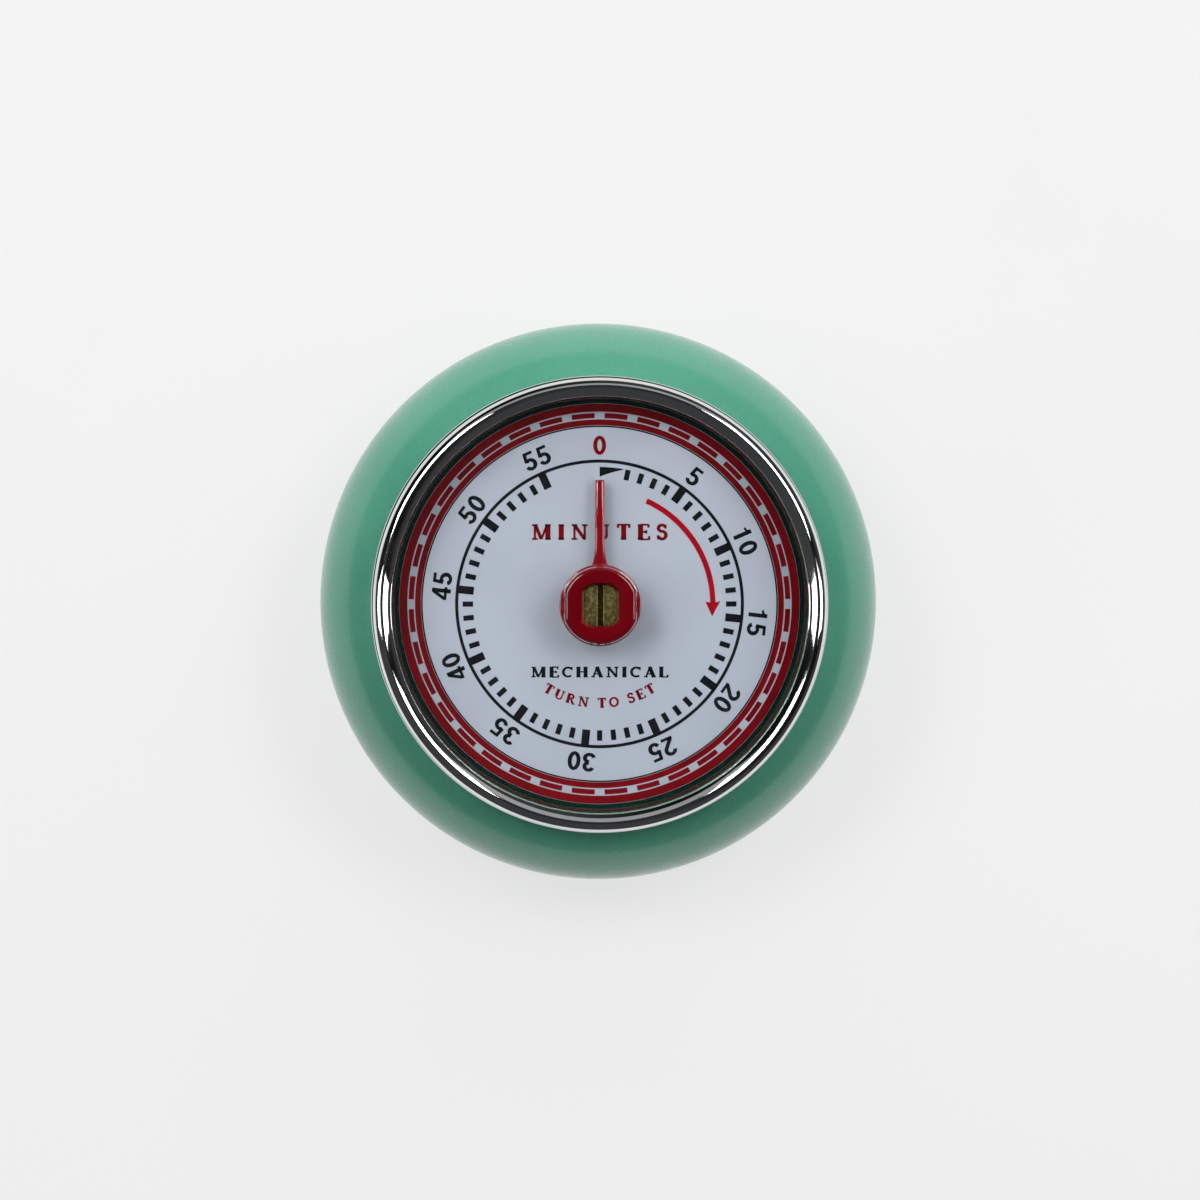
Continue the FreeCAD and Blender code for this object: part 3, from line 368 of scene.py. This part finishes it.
def make_shell():
    """Pressed and enamelled tyre, its rolled neck and the well that holds the dial. The well's faces take
    a near-black copy of the enamel: painted shade.
    """
    inner = SECTION - SHEET
    hem = NECK - SHEET
    belly = arc(
        (TYRE_CENTRE, TYRE_HEIGHT), SECTION, on_arc_height(SECTION, CURL), on_arc_radius(SECTION, NECK), 56
    )
    inside = arc(
        (TYRE_CENTRE, TYRE_HEIGHT), inner, on_arc_radius(inner, hem), on_arc_height(inner, CURL), 30
    )
    neck = [
        (NECK, NECK_TOP - 0.35),
        (NECK + 0.25, NECK_TOP - 0.3),
        (NECK + 0.25, NECK_TOP - 0.1),
        (NECK + 0.1, NECK_TOP),
    ]
    mouth = arc((WELL_MOUTH + 0.35, NECK_TOP - 0.35), 0.35, 90, 180, 5)
    well = [
        (WELL_FOOT, DIAL_LOW),
        (SEAT_BORE, DIAL_LOW),
        (SEAT_BORE, DIAL_LOW - SHEET),
        (WELL_FOOT + SHEET, DIAL_LOW - SHEET),
    ]
    mesh = lathe(belly + neck + mouth + well + inside)
    shell = piece("shell", mesh, "case", "mint_enamel", stands_for="case_shell")
    # The faces inside the well get the near-black copy of the enamel: painted shade.
    shell.data.materials.append(MATERIALS["well_enamel_painted_shade"])
    for face in mesh.polygons:
        centre = face.center / MM
        if math.hypot(centre.x, centre.y) < WELL_MOUTH and centre.z > DIAL_LOW - SHEET:
            face.material_index = 1


def make_bezel():
    """Turned and plated ring with a soft crown, a rolled foot and the groove of its wire."""
    bore = NECK + 0.45
    side = BEZEL_REACH - 0.35
    foot = BEZEL_LOW
    window = 27.3
    lip = LENS_EDGE + 0.15
    wire = NECK_TOP - 0.65
    outer_round = 1.3
    crown = 3.0
    crest = Vector((side - outer_round, BEZEL_TOP))
    brink = Vector((window + 0.15, BEZEL_TOP - 0.5))
    chord = brink - crest
    sag = math.sqrt(crown**2 - (chord.length / 2) ** 2)
    centre = (crest + brink) / 2 + Vector((-chord.y, chord.x)).normalized() * sag
    start = math.degrees(math.atan2(crest.y - centre.y, crest.x - centre.x))
    end = math.degrees(math.atan2(brink.y - centre.y, brink.x - centre.x))
    outline = [
        (bore, foot + 0.45),
        (bore + 0.2, foot + 0.2),
        (BEZEL_REACH - 0.12, foot),
        (BEZEL_REACH, foot + 0.12),
        (BEZEL_REACH, foot + 0.28),
        (BEZEL_REACH - 0.12, foot + 0.42),
        (side + 0.04, foot + 0.55),
        (side, foot + 0.7),
        *arc((side - outer_round, BEZEL_TOP - outer_round), outer_round, 0, 90, 14),
        *arc(centre, crown, start, end, 10)[1:],
        (window + 0.04, brink.y - 0.06),
        (window, brink.y - 0.16),
        (window, lip),
        (bore, lip),
        (bore, wire + 0.28),
        (bore + 0.25, wire + 0.28),
        (bore + 0.25, wire - 0.28),
        (bore, wire - 0.28),
    ]
    piece("bezel_ring", lathe(outline), "setting_ring", "chrome_plate", stands_for="bezel")


def keyed(radius, flat, degrees, end_flat=None):
    """Distance from the axis to a round outline with flats on its sides, and on its ends if asked."""
    across = abs(math.cos(math.radians(degrees)))
    along = abs(math.sin(math.radians(degrees)))
    reach = min(radius, flat / max(across, 1e-6))
    return min(reach, end_flat / max(along, 1e-6)) if end_flat else reach


def keyed_angles(radius, flat):
    """Angles round such an outline, with its four corners among them."""
    corner = math.degrees(math.acos(flat / radius))
    corners = [corner, 180 - corner, 180 + corner, 360 - corner]
    return sorted([360 * i / TURN_STEPS + 0.3 for i in range(TURN_STEPS)] + corners)


def round_trip(angles, radius_of, height):
    """One ring of points at a height, with its distance from the axis given by an angle."""
    loop = []
    for degrees in angles:
        radius = radius_of(degrees)
        angle = math.radians(degrees)
        loop.append((radius * math.cos(angle), radius * math.sin(angle), height))
    return loop


def make_lens():
    """Domed lens of even gauge with a keyed hole for the hub."""
    hole, flat = HUB_RADIUS - 0.3, HUB_RADIUS - 0.65
    apex = LENS_EDGE + LENS_DOME
    sphere = (LENS_RADIUS**2 + LENS_DOME**2) / (2 * LENS_DOME)
    angles = keyed_angles(hole, flat)

    def dome_loop(share, inset, drop):
        """Part of the way from the hole to the rim, and this far under the dome."""
        loop = []
        for degrees in angles:
            inner = keyed(hole, flat, degrees) + inset
            radius = inner + (LENS_RADIUS - inset - inner) * share
            height = apex - sphere + math.sqrt(sphere**2 - radius**2) - drop
            angle = math.radians(degrees)
            loop.append((radius * math.cos(angle), radius * math.sin(angle), height))
        return loop

    rows = 22
    fillet = 0.06
    upper = [dome_loop(i / rows, fillet, 0) for i in range(rows + 1)]
    lower = [dome_loop(1 - i / rows, fillet, LENS_GAUGE) for i in range(rows + 1)]
    outer_side = [dome_loop(1, 0, fillet), dome_loop(1, 0, LENS_GAUGE - fillet)]
    inner_side = [dome_loop(0, 0, LENS_GAUGE - fillet), dome_loop(0, 0, fillet)]
    bm = bmesh.new()
    loft(bm, upper + outer_side + lower + inner_side, closed=True)
    piece("lens_dome", new_mesh(bm, "lens"), "setting_ring", "clear_lens", stands_for="lens")


def make_hub():
    """Moulded hub: barrel, flange under the lens, keyed boss through it and the spindle's hole."""
    barrel = HUB_RADIUS - 0.9
    flange_top = LENS_EDGE + LENS_DOME - LENS_GAUGE - 0.1
    flange_low = flange_top - 1.3
    boss, boss_flat = HUB_RADIUS - 0.35, HUB_RADIUS - 0.7
    hole, hole_flat, hole_end = 2.91, 2.21, 2.71
    angles = keyed_angles(boss, boss_flat)

    def ring(radius, height):
        """A round loop."""
        return round_trip(angles, lambda a: radius, height)

    def boss_ring(inset, height):
        """A loop round the boss with its two flats."""
        return round_trip(angles, lambda a: keyed(boss, boss_flat, a) - inset, height)

    def hole_ring(outset, height):
        """A loop round the spindle's hole."""
        sizes = (hole + outset, hole_flat + outset)
        return round_trip(angles, lambda a: keyed(*sizes, a, hole_end + outset), height)

    loops = [
        hole_ring(0, HUB_LOW),
        ring(barrel - 0.1, HUB_LOW),
        ring(barrel, HUB_LOW + 0.1),
        ring(barrel, flange_low - 0.3),
        ring(barrel + 0.3, flange_low),
        ring(HUB_RADIUS - 0.15, flange_low),
        ring(HUB_RADIUS - 0.04, flange_low + 0.04),
        ring(HUB_RADIUS, flange_low + 0.15),
        ring(HUB_RADIUS, flange_top - 0.2),
        ring(HUB_RADIUS - 0.06, flange_top - 0.06),
        ring(HUB_RADIUS - 0.2, flange_top),
        boss_ring(0, flange_top),
        boss_ring(0, HUB_TOP - 0.42),
        boss_ring(0.05, HUB_TOP - 0.24),
        boss_ring(0.16, HUB_TOP - 0.1),
        boss_ring(0.32, HUB_TOP - 0.02),
        boss_ring(0.5, HUB_TOP),
        hole_ring(0.42, HUB_TOP),
        hole_ring(0.3, HUB_TOP - 0.03),
        hole_ring(0.06, HUB_TOP - 0.3),
        hole_ring(0, HUB_TOP - 0.5),
    ]
    bm = bmesh.new()
    loft(bm, loops, closed=True)
    piece("pointer_hub", new_mesh(bm, "hub"), "setting_ring", "red_plastic", stands_for="pointer")


def make_arm():
    """Slim arm with a square tip that flares into the hub."""
    low, high = HUB_LOW + 0.3, HUB_LOW + 1.5
    half, root_half = 0.62, 1.5
    flare_from, root = 8.8, 3.9
    right = [(half, POINTER_REACH)]
    steps = 14
    for i in range(steps + 1):
        t = i / steps
        right.append((half + (root_half - half) * t**2.6, flare_from + (root - flare_from) * t))
    outline = right + [(-x, y) for x, y in reversed(right)]

    def inset(amount, z):
        """The arm's outline drawn in by an amount."""
        return [(x - math.copysign(amount, x), min(y, POINTER_REACH - amount), z) for x, y in outline]

    levels = [(0.12, low), (0, low + 0.12), (0, high - 0.3), (0.08, high - 0.1), (0.28, high)]
    bm = bmesh.new()
    loft(bm, [inset(amount, z) for amount, z in levels])
    piece("pointer_arm", new_mesh(bm, "arm"), "setting_ring", "red_plastic")


# --- the dial ---


def bend(centre, across, up, start, end):
    """Points on part of an ellipse, for the curves of a letter. Angles in degrees."""
    points = []
    steps = 16
    for i in range(steps + 1):
        angle = math.radians(start + (end - start) * i / steps)
        points.append((centre[0] + across * math.cos(angle), centre[1] + up * math.sin(angle)))
    return points


def stroke_sides(points, width, closed):
    """The left and the right edge of a pen's stroke along a path."""
    left, right = [], []
    count = len(points)
    for i, point in enumerate(points):
        here = Vector(point)
        before = Vector(points[i - 1]) if i or closed else None
        after = Vector(points[(i + 1) % count]) if i < count - 1 or closed else None
        into = (here - before).normalized() if before is not None else (after - here).normalized()
        out = (after - here).normalized() if after is not None else into
        along = (into + out).normalized()
        normal = Vector((-along.y, along.x))
        reach = width / 2 / max(0.5, along.dot(out))
        left.append(tuple(here + normal * reach))
        right.append(tuple(here - normal * reach))
    return left, right


def draw_stroke(bm, points, width, put):
    """Adds one stroke of ink. A path whose last point is its first is a closed one."""
    closed = math.dist(points[0], points[-1]) < 1e-6
    path = points[:-1] if closed else points
    left, right = stroke_sides(path, width, closed)
    if not closed:
        ink_shape(bm, [put(*point) for point in left + right[::-1]])
        return
    loops = [(left, INK_LOW), (right, INK_LOW), (right, INK_HIGH), (left, INK_HIGH)]
    loft(bm, [[(*put(*point), z) for point in side] for side, z in loops], closed=True)


# Each glyph is a list of strokes in a square of one by one: the pen's path and its width.
BOLD = 0.18
FIGURES = {
    "0": [(bend((0.28, 0.5), 0.195, 0.415, 0, 360), BOLD)],
    "1": [([(0.30, 0), (0.30, 1)], BOLD), ([(0.05, 0.73), (0.20, 0.77), (0.32, 0.93)], 0.12)],
    "2": [
        (bend((0.28, 0.70), 0.195, 0.215, 175, -38) + [(0.10, 0.10)], BOLD),
        ([(0.03, 0.08), (0.54, 0.08)], 0.16),
    ],
    "3": [
        (bend((0.27, 0.725), 0.18, 0.19, 165, -90), BOLD),
        (bend((0.27, 0.285), 0.20, 0.20, 90, -165), BOLD),
    ],
    "4": [
        ([(0.40, 0), (0.40, 1)], BOLD),
        ([(0.37, 0.95), (0.06, 0.32)], 0.15),
        ([(0.0, 0.27), (0.57, 0.27)], 0.15),
    ],
    "5": [
        ([(0.10, 0.92), (0.51, 0.92)], 0.16),
        ([(0.165, 0.98), (0.115, 0.46)], 0.15),
        (bend((0.27, 0.325), 0.20, 0.24, 140, -160), BOLD),
    ],
}
FIGURE_WIDTH = 0.56
FIGURE_SPREAD = 1.2

# The pen's widths in the capitals: uprights, thin strokes and bows.
STEM = 0.27
HAIR = 0.125
BOW = 0.19


def foot_serif(x, half=0.15):
    """A short stroke along the base line."""
    return ([(x - half, HAIR / 2), (x + half, HAIR / 2)], HAIR)


def head_serif(x, half=0.15):
    """A short stroke along the top of the letters."""
    return ([(x - half, 1 - HAIR / 2), (x + half, 1 - HAIR / 2)], HAIR)


def stem(x, width=STEM):
    """An upright with a serif at each end."""
    return [([(x, 0), (x, 1)], width), foot_serif(x), head_serif(x)]


def bar(x_from, x_to, y):
    """A thin level stroke."""
    return ([(x_from, y), (x_to, y)], HAIR)


def spur(x, y_from, y_to):
    """A thin upright stroke at the end of a bar or a bow."""
    return ([(x, y_from), (x, y_to)], HAIR)


# Each capital has its width and its strokes.
CAPITALS = {
    "A": (
        0.80,
        [
            ([(0.13, 0), (0.40, 0.98)], HAIR),
            ([(0.38, 1), (0.67, 0)], STEM),
            bar(0.24, 0.56, 0.33),
            foot_serif(0.13, 0.13),
            foot_serif(0.67, 0.15),
        ],
    ),
    "C": (0.74, [(bend((0.41, 0.5), 0.31, 0.42, 48, 312), BOW), spur(0.66, 0.68, 0.98)]),
    "E": (
        0.66,
        [*stem(0.17), bar(0.17, 0.58, 0.967), bar(0.17, 0.46, 0.51), bar(0.17, 0.62, 0.033)]
        + [spur(0.58, 0.78, 1), spur(0.62, 0, 0.24), spur(0.46, 0.40, 0.62)],
    ),
    "H": (0.84, [*stem(0.18), *stem(0.66), bar(0.18, 0.66, 0.52)]),
    "I": (0.36, stem(0.18)),
    "L": (0.64, [*stem(0.17), bar(0.17, 0.60, 0.033), spur(0.60, 0, 0.26)]),
    "M": (
        1.02,
        [*stem(0.17, HAIR), *stem(0.84), ([(0.19, 0.98), (0.50, 0.04)], BOW)]
        + [([(0.50, 0.04), (0.80, 0.98)], HAIR)],
    ),
    "N": (
        0.86,
        [*stem(0.17, HAIR), ([(0.17, 0.95), (0.70, 0.05)], BOW), ([(0.70, 0), (0.70, 1)], HAIR)]
        + [head_serif(0.70)],
    ),
    "O": (0.84, [(bend((0.42, 0.5), 0.32, 0.42, 0, 360), BOW)]),
    "R": (
        0.80,
        [*stem(0.17), ([(0.17, 0.965), (0.36, 0.965)], HAIR), ([(0.17, 0.51), (0.36, 0.51)], HAIR)]
        + [(bend((0.34, 0.738), 0.20, 0.20, 95, -95), BOW), ([(0.38, 0.51), (0.66, 0)], BOW)]
        + [foot_serif(0.69, 0.11)],
    ),
    "S": (
        0.58,
        [(bend((0.29, 0.745), 0.185, 0.20, 25, 270) + bend((0.29, 0.30), 0.20, 0.245, 90, -160)[1:], BOW)]
        + [spur(0.47, 0.72, 0.97), spur(0.09, 0.03, 0.30)],
    ),
    "T": (
        0.74,
        [([(0.37, 0), (0.37, 1)], STEM), foot_serif(0.37), bar(0.05, 0.69, 0.967)]
        + [spur(0.08, 0.76, 1), spur(0.66, 0.76, 1)],
    ),
    "U": (
        0.82,
        [([(0.19, 0.28), (0.19, 1)], STEM), ([(0.64, 0.28), (0.64, 1)], HAIR)]
        + [(bend((0.415, 0.30), 0.225, 0.23, 180, 360), 0.15), head_serif(0.19), head_serif(0.64, 0.13)],
    ),
    " ": (0.30, []),
}


def write(bm, glyphs, size, place, gap, spread=1.0):
    """Adds a line of glyphs, spread sideways by a factor.
    place turns a distance along the line into a point and a turn in degrees."""
    total = sum(width for width, strokes in glyphs) + gap * (len(glyphs) - 1)
    along = -total / 2
    for width, strokes in glyphs:
        (x, y), turn = place((along + width / 2) * size * spread)
        angle = math.radians(turn)
        right = Vector((math.cos(angle), -math.sin(angle))) * size * spread
        up = Vector((math.sin(angle), math.cos(angle))) * size
        corner = Vector((x, y)) - right * width / 2
        for points, pen in strokes:
            draw_stroke(bm, points, pen, lambda u, v: tuple(corner + right * u + up * v))
        along += width + gap


def ink_piece(name, bm, material):
    """Puts a layer of print on the dial."""
    piece(name, new_mesh(bm, name), "case", material)


# Radii of the print, from the middle outwards.
TICK_FOOT = 16.7
TICK_TOP = 18.09
NUMERAL_FOOT = 19.71
SCALE_RING = (18.66, 19.08)
FINE_RING = (23.36, 23.56)
INNER_BAND = (23.60, 24.37)
DASHES = (24.53, 25.22)
OUTER_BAND = (25.38, DIAL_RADIUS - 0.06)


def make_dial():
    """Painted disc with a soft edge."""
    bore = 3.4
    outline = rounded(
        [(bore, DIAL_LOW), (DIAL_RADIUS, DIAL_LOW), (DIAL_RADIUS, DIAL_TOP), (bore, DIAL_TOP)],
        {2: 0.06, 3: 0.06},
    )
    piece("dial_disc", lathe(outline), "case", "dial_print", stands_for="dial")


def tick(bm, degrees, inner, outer, width):
    """Adds a straight mark between two radii."""
    across = Vector((math.cos(math.radians(degrees)), -math.sin(math.radians(degrees)))) * width / 2
    low, high = Vector(clock(inner, degrees)), Vector(clock(outer, degrees))
    ink_shape(bm, [tuple(low - across), tuple(high - across), tuple(high + across), tuple(low + across)])


def minute_angle(minute):
    """The scale's first minute takes two parts, so that the bell has time to ring down at zero."""
    return 6 * (minute + 1) if minute else 0


def make_scale():
    """Minute ring, ticks, the wedge at zero and the thin line round the numerals."""
    bm = bmesh.new()
    ink_ring(bm, *SCALE_RING)
    ink_ring(bm, *FINE_RING)
    for minute in range(1, 56):
        if minute % 5:
            tick(bm, minute_angle(minute), TICK_FOOT, TICK_TOP, 0.69)
        else:
            tick(bm, minute_angle(minute), TICK_FOOT, SCALE_RING[0] + 0.03, 1.06)
    steps = 8
    reach = 10
    low, high = TICK_FOOT + 0.1, TICK_TOP - 0.09
    wedge = [clock(low + (high - low) * i / steps, reach * i / steps) for i in range(steps + 1)]
    wedge += [clock(high + 0.1, reach - reach * i / steps) for i in range(steps + 1)]
    ink_shape(bm, wedge)
    ink_piece("dial_scale", bm, "ink_black")


def make_numerals():
    """Black numbers at every fifth minute and a red one at zero."""
    bm = bmesh.new()
    for minute in range(5, 56, 5):
        write_numeral(bm, str(minute), minute_angle(minute) + 0.6)
    ink_piece("dial_numerals", bm, "ink_black")
    bm = bmesh.new()
    write_numeral(bm, "0", 0)
    ink_piece("dial_zero", bm, "ink_red")


def write_numeral(bm, text, degrees):
    """A number that stands on a circle outside the ticks, with its top outwards."""
    height = 2.5
    turn = math.radians(degrees)
    base = Vector(clock(NUMERAL_FOOT, degrees))
    across = Vector((math.cos(turn), -math.sin(turn)))
    glyphs = [(FIGURE_WIDTH, FIGURES[figure]) for figure in text]
    write(bm, glyphs, height, lambda s: (tuple(base + across * s), degrees), 0.09, FIGURE_SPREAD)


def make_rings():
    """Red bands at the dial's edge with a row of dashes between them."""
    bm = bmesh.new()
    ink_ring(bm, *INNER_BAND)
    ink_ring(bm, *OUTER_BAND)
    for number in range(36):
        ink_band(bm, *DASHES, number * 10 + 1.5, number * 10 + 8.5)
    ink_piece("dial_rings", bm, "ink_red")


def make_arrow():
    """Curved arrow in the direction of setting."""
    middle = 14.96
    shaft = 0.36
    start, neck, tip = 24.4, 89.2, 96.3
    wing = 1.0
    steps = 40
    angles = [start + (neck - start) * i / steps for i in range(steps + 1)]
    outline = [clock(middle + shaft, a) for a in angles] + [clock(middle + wing, neck - 0.6)]
    outline += [clock(middle, tip), clock(middle - wing, neck - 0.6)]
    outline += [clock(middle - shaft, a) for a in reversed(angles)]
    bm = bmesh.new()
    ink_shape(bm, outline)
    ink_piece("dial_arrow", bm, "ink_scarlet")


def make_words():
    """Plain words on the dial: each with its letters' height, gap and spread, ink and place."""
    lines = [
        ("dial_word_top", "MINUTES", 2.08, 0.33, 1.23, "ink_red", lambda s: ((s, 8.47), 0)),
        ("dial_word_low", "MECHANICAL", 1.42, 0.2, 1.38, "ink_black", lambda s: ((s, -9.7), 0)),
        ("dial_word_curved", "TURN TO SET", 1.32, 0.26, 1.21, "ink_red", along_bottom),
    ]
    for name, text, size, gap, spread, material, place in lines:
        bm = bmesh.new()
        write(bm, [CAPITALS[letter] for letter in text], size, place, gap, spread)
        ink_piece(name, bm, material)


def along_bottom(distance):
    """A place on a line of words that runs left to right round the dial's lower half."""
    radius = 13.75
    degrees = 180 - math.degrees(distance / radius)
    return clock(radius, degrees), degrees - 180


# --- nodes that stay ---


def dress_nodes():
    """Gives each CAD node that stays the procedural material of its slot."""
    for part in frame["record"]["subparts"]:
        node = frame["nodes"][part["node"]]
        node.data.materials.clear()
        node.data.materials.append(MATERIALS[part["material_slot"]])


def soften(name, width):
    """Breaks a CAD node's sharp edges with a small bevel."""
    node = frame["nodes"][name]
    weld = node.modifiers.new("weld", "WELD")
    weld.merge_threshold = 1e-6
    bevel = node.modifiers.new("bevel", "BEVEL")
    bevel.width = width * MM
    bevel.segments = 2
    bevel.limit_method = "ANGLE"
    bevel.angle_limit = math.radians(40)
    bevel.harden_normals = False


# --- stage ---


def make_floor():
    """A pale floor that glows a little, so that the object's shadow stays soft."""
    material, shader = surface(
        "stage_floor", (0.20, 0.20, 0.20), (0.21, 0.21, 0.21), (0.6, 0.7), 60, relief=0.01
    )
    shader.inputs["Emission Color"].default_value = (1, 1, 1, 1)
    shader.inputs["Emission Strength"].default_value = 0.69
    bm = bmesh.new()
    reach = 4.0
    corners = [(-reach, -reach, 0), (reach, -reach, 0), (reach, reach, 0), (-reach, reach, 0)]
    bm.faces.new([bm.verts.new(corner) for corner in corners])
    mesh = bpy.data.meshes.new("floor")
    bm.to_mesh(mesh)
    bm.free()
    mesh.materials.append(material)
    floor = bpy.data.objects.new("floor", mesh)
    bpy.context.scene.collection.objects.link(floor)


def sky_direction(degrees, elevation):
    """A unit vector, degrees clockwise from +Y and elevation above the floor."""
    up = math.radians(elevation)
    x, y = clock(math.cos(up), degrees)
    return Vector((x, y, math.sin(up)))


def area_light(name, degrees, elevation, distance, width, height, power):
    """A rectangular lamp that faces the object from a bearing and an elevation."""
    lamp = bpy.data.lights.new(name, "AREA")
    lamp.shape = "RECTANGLE"
    lamp.size, lamp.size_y = width, height
    lamp.energy = power
    obj = bpy.data.objects.new(name, lamp)
    bpy.context.scene.collection.objects.link(obj)
    direction = sky_direction(degrees, elevation)
    obj.location = direction * distance
    obj.rotation_mode = "QUATERNION"
    obj.rotation_quaternion = direction.to_track_quat("Z", "Y")
    return obj


# Dark cards round the object: bearing, elevation, inner and outer spread in degrees, depth.
CARDS = [
    (315, 35, 20, 50, 0.9),
    (90, 60, 10, 40, 0.9),
]


def make_world():
    """Dim surroundings with soft darker patches, as in a studio with black cards."""
    world = bpy.data.worlds.new("studio")
    bpy.context.scene.world = world
    world.use_nodes = True
    tree = world.node_tree
    background = tree.nodes["Background"]
    direction = tree.nodes.new("ShaderNodeTexCoord").outputs["Generated"]
    level = None
    for degrees, elevation, inner, outer, depth in CARDS:
        dot = tree.nodes.new("ShaderNodeVectorMath")
        dot.operation = "DOT_PRODUCT"
        dot.inputs[1].default_value = sky_direction(degrees, elevation)
        tree.links.new(direction, dot.inputs[0])
        fade = tree.nodes.new("ShaderNodeMapRange")
        fade.interpolation_type = "SMOOTHSTEP"
        fade.inputs["From Min"].default_value = math.cos(math.radians(outer))
        fade.inputs["From Max"].default_value = math.cos(math.radians(inner))
        fade.inputs["To Min"].default_value = 1.0
        fade.inputs["To Max"].default_value = 1.0 - depth
        tree.links.new(dot.outputs["Value"], fade.inputs["Value"])
        if level is None:
            level = fade.outputs["Result"]
            continue
        product = tree.nodes.new("ShaderNodeMath")
        product.operation = "MULTIPLY"
        tree.links.new(level, product.inputs[0])
        tree.links.new(fade.outputs["Result"], product.inputs[1])
        level = product.outputs["Value"]
    strength = tree.nodes.new("ShaderNodeMath")
    strength.operation = "MULTIPLY"
    strength.inputs[1].default_value = 0.05
    tree.links.new(level, strength.inputs[0])
    tree.links.new(strength.outputs["Value"], background.inputs["Strength"])
    background.inputs["Color"].default_value = (0.96, 0.98, 1.0, 1)


def make_lights():
    """Two soft lamps, a low window that lights the enamel, and cards for the chrome to mirror."""
    area_light("lamp_left", 308, 58, 0.9, 0.32, 0.24, 2.35)
    area_light("lamp_right", 54, 58, 0.9, 0.32, 0.24, 2.15)
    window = area_light("window", 5, 26, 1.1, 2.2, 0.7, 8.0)
    window.visible_glossy = False
    area_light("card", 0, 50, 1.0, 1.3, 0.35, 0.5)
    area_light("strip_right", 92, 48, 0.8, 0.14, 0.36, 0.65)
    area_light("strip_left", 268, 48, 0.8, 0.14, 0.36, 0.65)


def make_camera():
    """Looks down on the dial, a little from the upper left."""
    middle = Vector((0.22, 0.22, TYRE_HEIGHT)) * MM
    distance = 0.5
    offset = Vector((math.tan(math.radians(-0.93)), math.tan(math.radians(1.7)), 1)) * distance
    data = bpy.data.cameras.new("camera")
    data.lens = 111.1
    data.sensor_width = 36
    camera = bpy.data.objects.new("camera", data)
    bpy.context.scene.collection.objects.link(camera)
    back = offset.normalized()
    right = Vector((0, 1, 0)).cross(back).normalized()
    up = back.cross(right)
    turn = Matrix((right, up, back)).transposed().to_4x4()
    camera.matrix_world = Matrix.Translation(middle + offset) @ turn
    bpy.context.scene.camera = camera


dress_nodes()
soften("spindle", 0.12)
make_shell()
make_bezel()
make_lens()
make_hub()
make_arm()
make_dial()
make_scale()
make_numerals()
make_rings()
make_arrow()
make_words()
make_floor()
make_world()
make_lights()
make_camera()
bpy.context.scene.view_settings.view_transform = "Standard"
